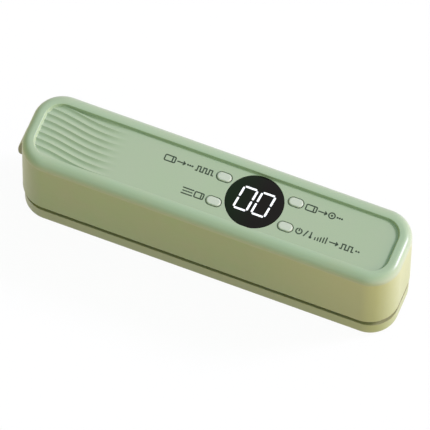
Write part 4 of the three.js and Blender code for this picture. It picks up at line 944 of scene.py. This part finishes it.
def bag(x, y, length):
    """An open pouch with its sealed edge."""
    body = rounded_rectangle(x + length / 2, y, length, HALF * 2, BAG_CORNER, EDGE_STEPS)
    seam, reach = x + length * BAG_SEAM, HALF * BAG_SEAM_REACH
    return [loop(body), line((seam, y - reach), (seam, y + reach))]


def arrow(x, y, length):
    tip, head = x + length, HALF * ARROW_HEAD
    return [line((x, y), (tip, y)), line((tip - head, y + head), (tip, y), (tip - head, y - head))]


def square_wave(x, y, length, periods):
    step = length / (periods * 2)
    low, high = y - HALF * WAVE_REACH, y + HALF * WAVE_REACH
    points = [(x, low)]
    for i in range(periods):
        left = x + step * (2 * i + 0.5)
        points += [(left, low), (left, high), (left + step, high), (left + step, low)]
    return [line(*points, (x + length, low))]


def dots(x, y, pitch, count):
    start = x + DOT_RADIUS
    return [loop(circle(start + i * pitch, y, DOT_RADIUS, DOT_STEPS)) for i in range(count)]


def seal_bars(x, y, length, count):
    """Two bars that press a hot seam between them."""
    pitch = length / count
    bars = [line((x, y + side * HALF), (x + length, y + side * HALF)) for side in (-1, 1)]
    seam = [line(*((x + (i + share) * pitch, y) for share in DASH)) for i in range(count)]
    return bars + seam


def wheel(x, y):
    """A ring with a hub."""
    sizes = ((HALF, WHEEL_STEPS), (WHEEL_HUB, DOT_STEPS))
    return [loop(circle(x + HALF, y, radius, steps)) for radius, steps in sizes]


def power_sign(x, y):
    centre = x + HALF
    ring = arc(centre, y, HALF * POWER_RING, *POWER_TURNS, POWER_STEPS)
    return [line(*ring), line((centre, y + HALF * POWER_BAR_START), (centre, y + HALF))]


def slash(x, y):
    return [line((x, y - HALF), (x + HALF * SLASH_LEAN, y + HALF))]


def thermometer(x, y):
    """A bulb under a stem."""
    centre, low = x + BULB_RADIUS * 2, y - HALF + BULB_RADIUS
    bulb = loop(circle(centre, low, BULB_RADIUS, BULB_STEPS))
    return [bulb, line((centre, low + BULB_RADIUS), (centre, y + HALF))]


def level_bars(x, y, pitch, count):
    """Upright strokes that grow in height."""
    low = y - HALF
    growth = (1 - LEAST_LEVEL) / (count - 1)
    rises = [HALF * 2 * (LEAST_LEVEL + growth * i) for i in range(count)]
    return [line((x + i * pitch, low), (x + i * pitch, low + rise)) for i, rise in enumerate(rises)]


# What stands beside each button: a sign and, in millimetres, its start and its length or pitch, then
# its count. The rows of two buttons end at them, so their lengths are listed too
SIGN_ROWS = {
    "pulse": ((bag, 0, 6), (arrow, 7.4, 4.4), (dots, 13.2, 1.3, 3), (square_wave, 18.2, 10, 3)),
    "seal": ((seal_bars, 0, 6, 4), (bag, 7.2, 5)),
    "vacuum": ((bag, 0, 6), (arrow, 7.3, 4.6), (wheel, 13.2), (dots, 18, 1.3, 3)),
    "power": (
        (power_sign, 0), (slash, 5), (thermometer, 7.8), (level_bars, 11.4, 1.55, 5),
        (arrow, 19.6, 4.6), (square_wave, 25.8, 7.6, 2), (dots, 34.8, 1.4, 2),
    ),
}
ROW_LENGTHS = {"pulse": 28.4 * MM, "seal": 12.2 * MM}
SIGN_GAP = 1.0 * MM
SIGN_SHIFT = 0.3 * MM


def signs():
    """One group of signs beside each button, and a ring of ink round it that is painted shade of the gap
    round the button.
    """
    for key in KEYS:
        low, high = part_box(f"button_{key}")
        x = low.x - SIGN_GAP - ROW_LENGTHS[key] if key in ROW_LENGTHS else high.x + SIGN_GAP
        y = middle(f"button_{key}")[1]
        y -= math.copysign(SIGN_SHIFT, y)
        strokes = []
        for sign, start, *sizes in SIGN_ROWS[key]:
            strokes += sign(x + start * MM, y, *[size * MM for size in sizes[:1]], *sizes[1:])
        # A thin ring of ink round the hole: painted shade of the gap round the cap
        hole = button_hole(key, BUTTON_SLACK + HOLE_EDGE + SHADE_RING_WIDTH / 2)
        mesh = merged([stroke(*parts) for parts in strokes + [(hole, True, SHADE_RING_WIDTH)]])
        piece(f"sign_{key}", *mesh, INK, "housing")


# Lower jaw
JAW_INSET = 1.0 * MM
JAW_END_REACH = 0.6 * MM
JAW_FILLET = 3.4 * MM
JAW_WALL = 2.0 * MM
JAW_FLOOR = 2 * MM
JAW_CHAMFER = 1 * MM
JAW_EDGE = 0.2 * MM
NOTCH_GAP = 1.2 * MM
NOTCH_OVERRUN = 6 * MM
NOTCH_OVERDEPTH = 0.6 * MM
NOTCH_CORNER = 0.8 * MM
NOTCH_STEPS = 5
ROOM_GAP = 0.15 * MM
SCREW_ROOM = 2.6 * MM
SCREW_ROOM_STEPS = 40
FOOT_SEAT = 0.8 * MM


def jaw_cover():
    bottom, top = cover_low.z, COVER_TOP_Z
    r, e, inner = JAW_FILLET, JAW_EDGE, -JAW_INSET - JAW_WALL
    levels = quarter(-JAW_INSET - r, bottom + r, r, r, -90, 0, ROUND_STEPS)
    levels += quarter(-JAW_INSET - e, top - e, e, e, 0, 90, EDGE_STEPS)
    levels += [
        (inner + e, top), (inner, top - e),
        (inner, bottom + JAW_FLOOR + JAW_CHAMFER), (inner - JAW_CHAMFER, bottom + JAW_FLOOR),
    ]
    plan = partial(grown, plan_between(shell_low.x, shell_high.x + JAW_END_REACH, 0))
    cover = ring_body("sage_jaw_cover", plan, levels, COVER, "jaw", "jaw_cover", closed=False)
    cut_away(cover, [lever_notch(), *underside_rooms()])
    even(cover)


def lever_notch():
    x, depth = shell_low.x + JAW_INSET, JAW_WALL + NOTCH_OVERDEPTH
    bottom, top = lever_low.z - NOTCH_GAP, cover_high.z + NOTCH_OVERRUN
    return lever_mouth("lever_notch", x, bottom, top, NOTCH_CORNER, NOTCH_STEPS, depth)


def underside_rooms():
    """Cutters from below for the screws and the feet, each at its node."""
    rooms = []
    for node in [f"{kind}_{i}" for kind in ("jaw_screw", "foot") for i in range(1, 5)]:
        x, y = middle(node)
        turn = laid(X, -Y, -Z, (x, y, cover_low.z))
        radius = radius_of(node) + ROOM_GAP
        if node.startswith("foot"):
            seat = circle(0, 0, radius, FOOT_STEPS)
            levels = [(0, OVERRUN), (0, -FOOT_SEAT)]
            rooms.append(plate(f"seat_{node}", seat, levels, COVER, None, matrix=turn))
        else:
            room = circle(0, 0, radius, SCREW_ROOM_STEPS)
            rooms.append(mouth(f"room_{node}", room, SCREW_ROOM, turn))
    return rooms


# Feet, with the insets and heights of the groove in their sole in millimetres
FOOT_EDGE = 0.1 * MM
FOOT_SOFT = 0.5 * MM
FOOT_GROOVE = ((1.3, 0), (1.5, 0.25), (1.9, 0.25), (2.1, 0))


def foot(i):
    low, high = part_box(f"foot_{i}")
    soft = FOOT_SOFT
    profile = [(-FOOT_EDGE, high.z), (0, high.z - FOOT_EDGE)]
    profile += quarter(-soft, low.z + soft, soft, soft, 0, -90, SOFT_STEPS)
    profile += [(-inset * MM, low.z + height * MM) for inset, height in FOOT_GROOVE]
    outline = circle(*middle(f"foot_{i}"), radius_of(f"foot_{i}"), FOOT_STEPS)
    plate(f"rubber_foot_{i}", outline, profile, RUBBER, "jaw", f"foot_{i}")


# Gaskets: round beads on a flat root
BEAD_WIDTH = 3 * MM
BEAD_ROUND = 0.8
GASKET_CORNER = 5 * MM
GASKET_STEPS = 10


def gasket(node, body, bead_up):
    low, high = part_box(node)
    half = BEAD_WIDTH / 2
    length, width = high.x - low.x - BEAD_WIDTH, high.y - low.y - BEAD_WIDTH
    path = rounded_rectangle(*middle(node), length, width, GASKET_CORNER - half, GASKET_STEPS)
    root, crown = (low.z, high.z) if bead_up else (high.z, low.z)
    rise = math.copysign(half * BEAD_ROUND, crown - root)
    shoulder = crown - rise
    profile = [(-half, root), (half, root), (half, shoulder)]
    profile += quarter(0, shoulder, half, rise, 0, 180, ROUND_STEPS)[1:-1]
    profile.append((-half, shoulder))
    ring_body(f"bead_{node}", partial(grown, path), profile, SILICONE, body, node)


PRESS_CROWN = 0.35 * MM
PRESS_EDGE = 0.15 * MM
CROWN_SHARES = [1 - i / 6 for i in range(13)]


def press_strip():
    """The rubber strip that backs the heating strip, with a crowned top."""
    low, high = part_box("press_strip")
    y, half, edge = middle("press_strip")[1], (high.y - low.y) / 2, PRESS_EDGE
    section = [(y + half * share, high.z - PRESS_CROWN * share ** 2) for share in CROWN_SHARES]
    section += [(low.y, low.z), (high.y, low.z)]
    ends = [(-edge, high.x), (0, high.x - edge), (0, low.x + edge), (-edge, low.x)]
    along = laid(Y, Z, X)
    plate("crowned_press_strip", section, ends, PRESS, "jaw", "press_strip", matrix=along)


# Latch lever. Its lip is two curves of four points end to end, as shares of its reach and height
LIP_HEIGHT = 16.5 * MM
LIP_DROP = 19.7 * MM
LIP_CURVES = ((0, 1), (0.5, 0.9), (1, 0.62), (1, 0.28), (1, 0), (0.75, 0), (0, 0.06))
NOSE_REACH = 1.5 * MM
NOSE_HEIGHT = 1.6 * MM
NOSE = ((0, 0.5), (1, 0.75), (1, 1.25), (0, 2))
LEVER_EDGE = 0.45 * MM
HUB_RADIUS = 1.9 * MM
HUB_OVERLAP = 0.1 * MM
PIN_GAP = 0.1 * MM
LIP_STEPS = (16, 12)
LEVER_EDGE_STEPS, HUB_STEPS, PIN_STEPS = 3, 16, 24


def bezier(a, b, c, d, steps):
    """Points of a curve from a to d, without a itself."""
    points = []
    for i in range(1, steps + 1):
        t = i / steps
        s = 1 - t
        shares = (s ** 3, 3 * s * s * t, 3 * s * t * t, t ** 3)
        points.append(tuple(sum(w * p[k] for w, p in zip(shares, (a, b, c, d))) for k in (0, 1)))
    return points


def latch_lever():
    face, inside, base = shell_low.x, shell_low.x + WALL, lever_low.z
    reach, lip_bottom = face - lever_low.x, lever_high.z - LIP_DROP
    lip = [(face - reach * out, lip_bottom + LIP_HEIGHT * up) for out, up in LIP_CURVES]
    outline = [(inside, lever_high.z), (face, lever_high.z), lip[0]]
    outline += bezier(*lip[:4], LIP_STEPS[0]) + bezier(*lip[3:], LIP_STEPS[1])
    outline += [(face, base), (inside, base)]
    outline += [(inside + NOSE_REACH * along, base + NOSE_HEIGHT * up) for along, up in NOSE]
    half, edge = (lever_high.y - lever_low.y) / 2, LEVER_EDGE
    upper = quarter(-edge, half - edge, edge, edge, 90, 0, LEVER_EDGE_STEPS)
    levels = upper + [(growth, -height) for growth, height in upper[::-1]]
    turn = laid(X, Z, -Y)
    plate("olive_latch_lever", outline, levels, LEVER, "latch", "latch_lever", matrix=turn)
    pin_low, pin_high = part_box("latch_pin")
    x, z = (pin_low.x + pin_high.x) / 2, (pin_low.z + pin_high.z) / 2
    root = inside - HUB_OVERLAP
    hub = arc(x, z, HUB_RADIUS, -90, 90, HUB_STEPS)
    hub += [(root, z + HUB_RADIUS), (root, z - HUB_RADIUS)]
    hole = circle(x, z, radius_of("latch_pin") + PIN_GAP, PIN_STEPS)
    levels = [(0, half), (0, -half)]
    eye = plate("latch_eye", hub, levels, LEVER, "latch", holes=[hole], hole_profile=levels, matrix=turn)


# Surroundings
FLOOR_REACH = 12
FLOOR_BOUNCE = (0.45, 0.20, 0.0, 1)
FLOOR_SEEN = (1, 1, 1, 1)
FLOOR_CLEAR_SHARE = 0.95


def floor():
    mesh = bpy.data.meshes.new("floor")
    corners = [(x * FLOOR_REACH, y * FLOOR_REACH, 0) for x, y in ((-1, -1), (1, -1), (1, 1), (-1, 1))]
    mesh.from_pydata(corners, [], [(0, 1, 2, 3)])
    mesh.materials.append(floor_material())
    added("floor", mesh)


def direct_view(n):
    """1 for rays that show the surroundings as such: from the camera, a gloss or a window."""
    path = n.add("ShaderNodeLightPath").outputs
    first = n.calculated("MAXIMUM", path["Is Camera Ray"], path["Is Glossy Ray"])
    return n.calculated("MAXIMUM", first, path["Is Transmission Ray"])


def chosen(n, factor, first, second):
    """Mixes two shaders."""
    return n.add("ShaderNodeMixShader", {0: factor, 1: first, 2: second}).outputs[0]


def diffuse(n, colour):
    return n.add("ShaderNodeBsdfDiffuse", {"Color": colour}).outputs[0]


def floor_material():
    """A thin veil before the white surroundings, which shows the shadow and what swings below it.

    For the light that it returns, it is a warm floor.
    """
    n = Nodes("floor")
    shadow = n.add("ShaderNodeLightPath").outputs["Is Shadow Ray"]
    clear = n.add("ShaderNodeBsdfTransparent").outputs[0]
    seen = chosen(n, FLOOR_CLEAR_SHARE, diffuse(n, FLOOR_SEEN), clear)
    solid = chosen(n, direct_view(n), diffuse(n, FLOOR_BOUNCE), seen)
    n.link(chosen(n, shadow, solid, clear), n.surface)
    n.tree.nodes.remove(n.shader)
    return n.owner


# Light of the surroundings, in parts: the side where each is strongest, its narrowness, its colour
SKY = (
    ((0, 0, 1), 1, (0.25, 0.52, 0.62)), ((1, 0, 0), 3, (3.0, 2.48, 1.25)),
    ((-1, 0, 0), 4, (1.6, 1.2, 0.0)), ((0, 1, 0), 3, (0.5, 0.1, 0.5)),
)


def surroundings():
    """Soft light from all round, and white where the floor ends."""
    n = Nodes("studio", "worlds", "Background", "Generated")
    bpy.context.scene.world = n.owner
    light = n.add("ShaderNodeCombineXYZ").outputs[0]
    for side, narrowness, colour in SKY:
        facing = n.add("ShaderNodeVectorMath", {0: n.place, 1: side}, operation="DOT_PRODUCT")
        share = n.calculated("MAXIMUM", facing.outputs["Value"], 0)
        lobe = n.calculated("POWER", share, narrowness)
        part = n.add("ShaderNodeVectorMath", {0: colour, "Scale": lobe}, operation="SCALE")
        total = n.add("ShaderNodeVectorMath", {0: light, 1: part.outputs[0]}, operation="ADD")
        light = total.outputs[0]
    n.link(light, n.shader.inputs["Color"])
    white = n.add("ShaderNodeBackground", {"Color": (1, 1, 1, 1)}).outputs[0]
    n.link(chosen(n, direct_view(n), n.shader.outputs[0], white), n.surface)


KEY_COLOUR = (0.82, 0.71, 1.0)
KEY_STRENGTH = 3.3
KEY_AZIMUTH = math.radians(32)
KEY_ELEVATION = math.radians(35)
KEY_SOFTNESS = math.radians(13)


def key_light():
    """A low soft sun from the right and a little behind."""
    lamp = bpy.data.lights.new("key", "SUN")
    lamp.energy = KEY_STRENGTH
    lamp.color = KEY_COLOUR
    lamp.angle = KEY_SOFTNESS
    flat = math.cos(KEY_ELEVATION)
    toward = Vector((
        flat * math.cos(KEY_AZIMUTH), flat * math.sin(KEY_AZIMUTH), math.sin(KEY_ELEVATION),
    ))
    added("key", lamp).rotation_euler = toward.to_track_quat("Z", "Y").to_euler()


# Camera, fitted to the photograph
IMAGE_WIDTH = 430
SENSOR = 36
VIEW_AZIMUTH = math.radians(20.6314)
VIEW_TILT = math.radians(61.9901)
VIEW_ROLL = math.radians(1.1733)
VIEW_DISTANCE = 4520.714 * MM
PIXELS_PER_METRE = 1827.934
AIM = Vector((CENTRE_X, 1 * MM, 22 * MM))
VIEW_SHIFT = (0.894956 * MM, -4.082058 * MM)
VIEW_END = 100


def camera():
    right = Vector((math.cos(VIEW_AZIMUTH), math.sin(VIEW_AZIMUTH), 0))
    forward = Vector((
        -math.sin(VIEW_AZIMUTH) * math.cos(VIEW_TILT),
        math.cos(VIEW_AZIMUTH) * math.cos(VIEW_TILT),
        -math.sin(VIEW_TILT),
    ))
    up = right.cross(forward)
    side = right * math.cos(VIEW_ROLL) + up * math.sin(VIEW_ROLL)
    rise = up * math.cos(VIEW_ROLL) - right * math.sin(VIEW_ROLL)
    data = bpy.data.cameras.new("camera")
    data.sensor_width = SENSOR
    data.lens = SENSOR * PIXELS_PER_METRE * VIEW_DISTANCE / IMAGE_WIDTH
    data.clip_end = VIEW_END
    obj = added("camera", data)
    place = AIM - forward * VIEW_DISTANCE - side * VIEW_SHIFT[0] - rise * VIEW_SHIFT[1]
    obj.matrix_world = laid(side, rise, -forward, place)
    bpy.context.scene.camera = obj


camera()
dress_nodes()
upper_shell()
control_panel()
display()
for key in KEYS:
    button_cap(key)
signs()
jaw_cover()
for i in range(1, 5):
    foot(i)
gasket("upper_gasket", "housing", False)
gasket("lower_gasket", "jaw", True)
press_strip()
latch_lever()
floor()
surroundings()
key_light()
bpy.context.scene.view_settings.view_transform = "Standard"
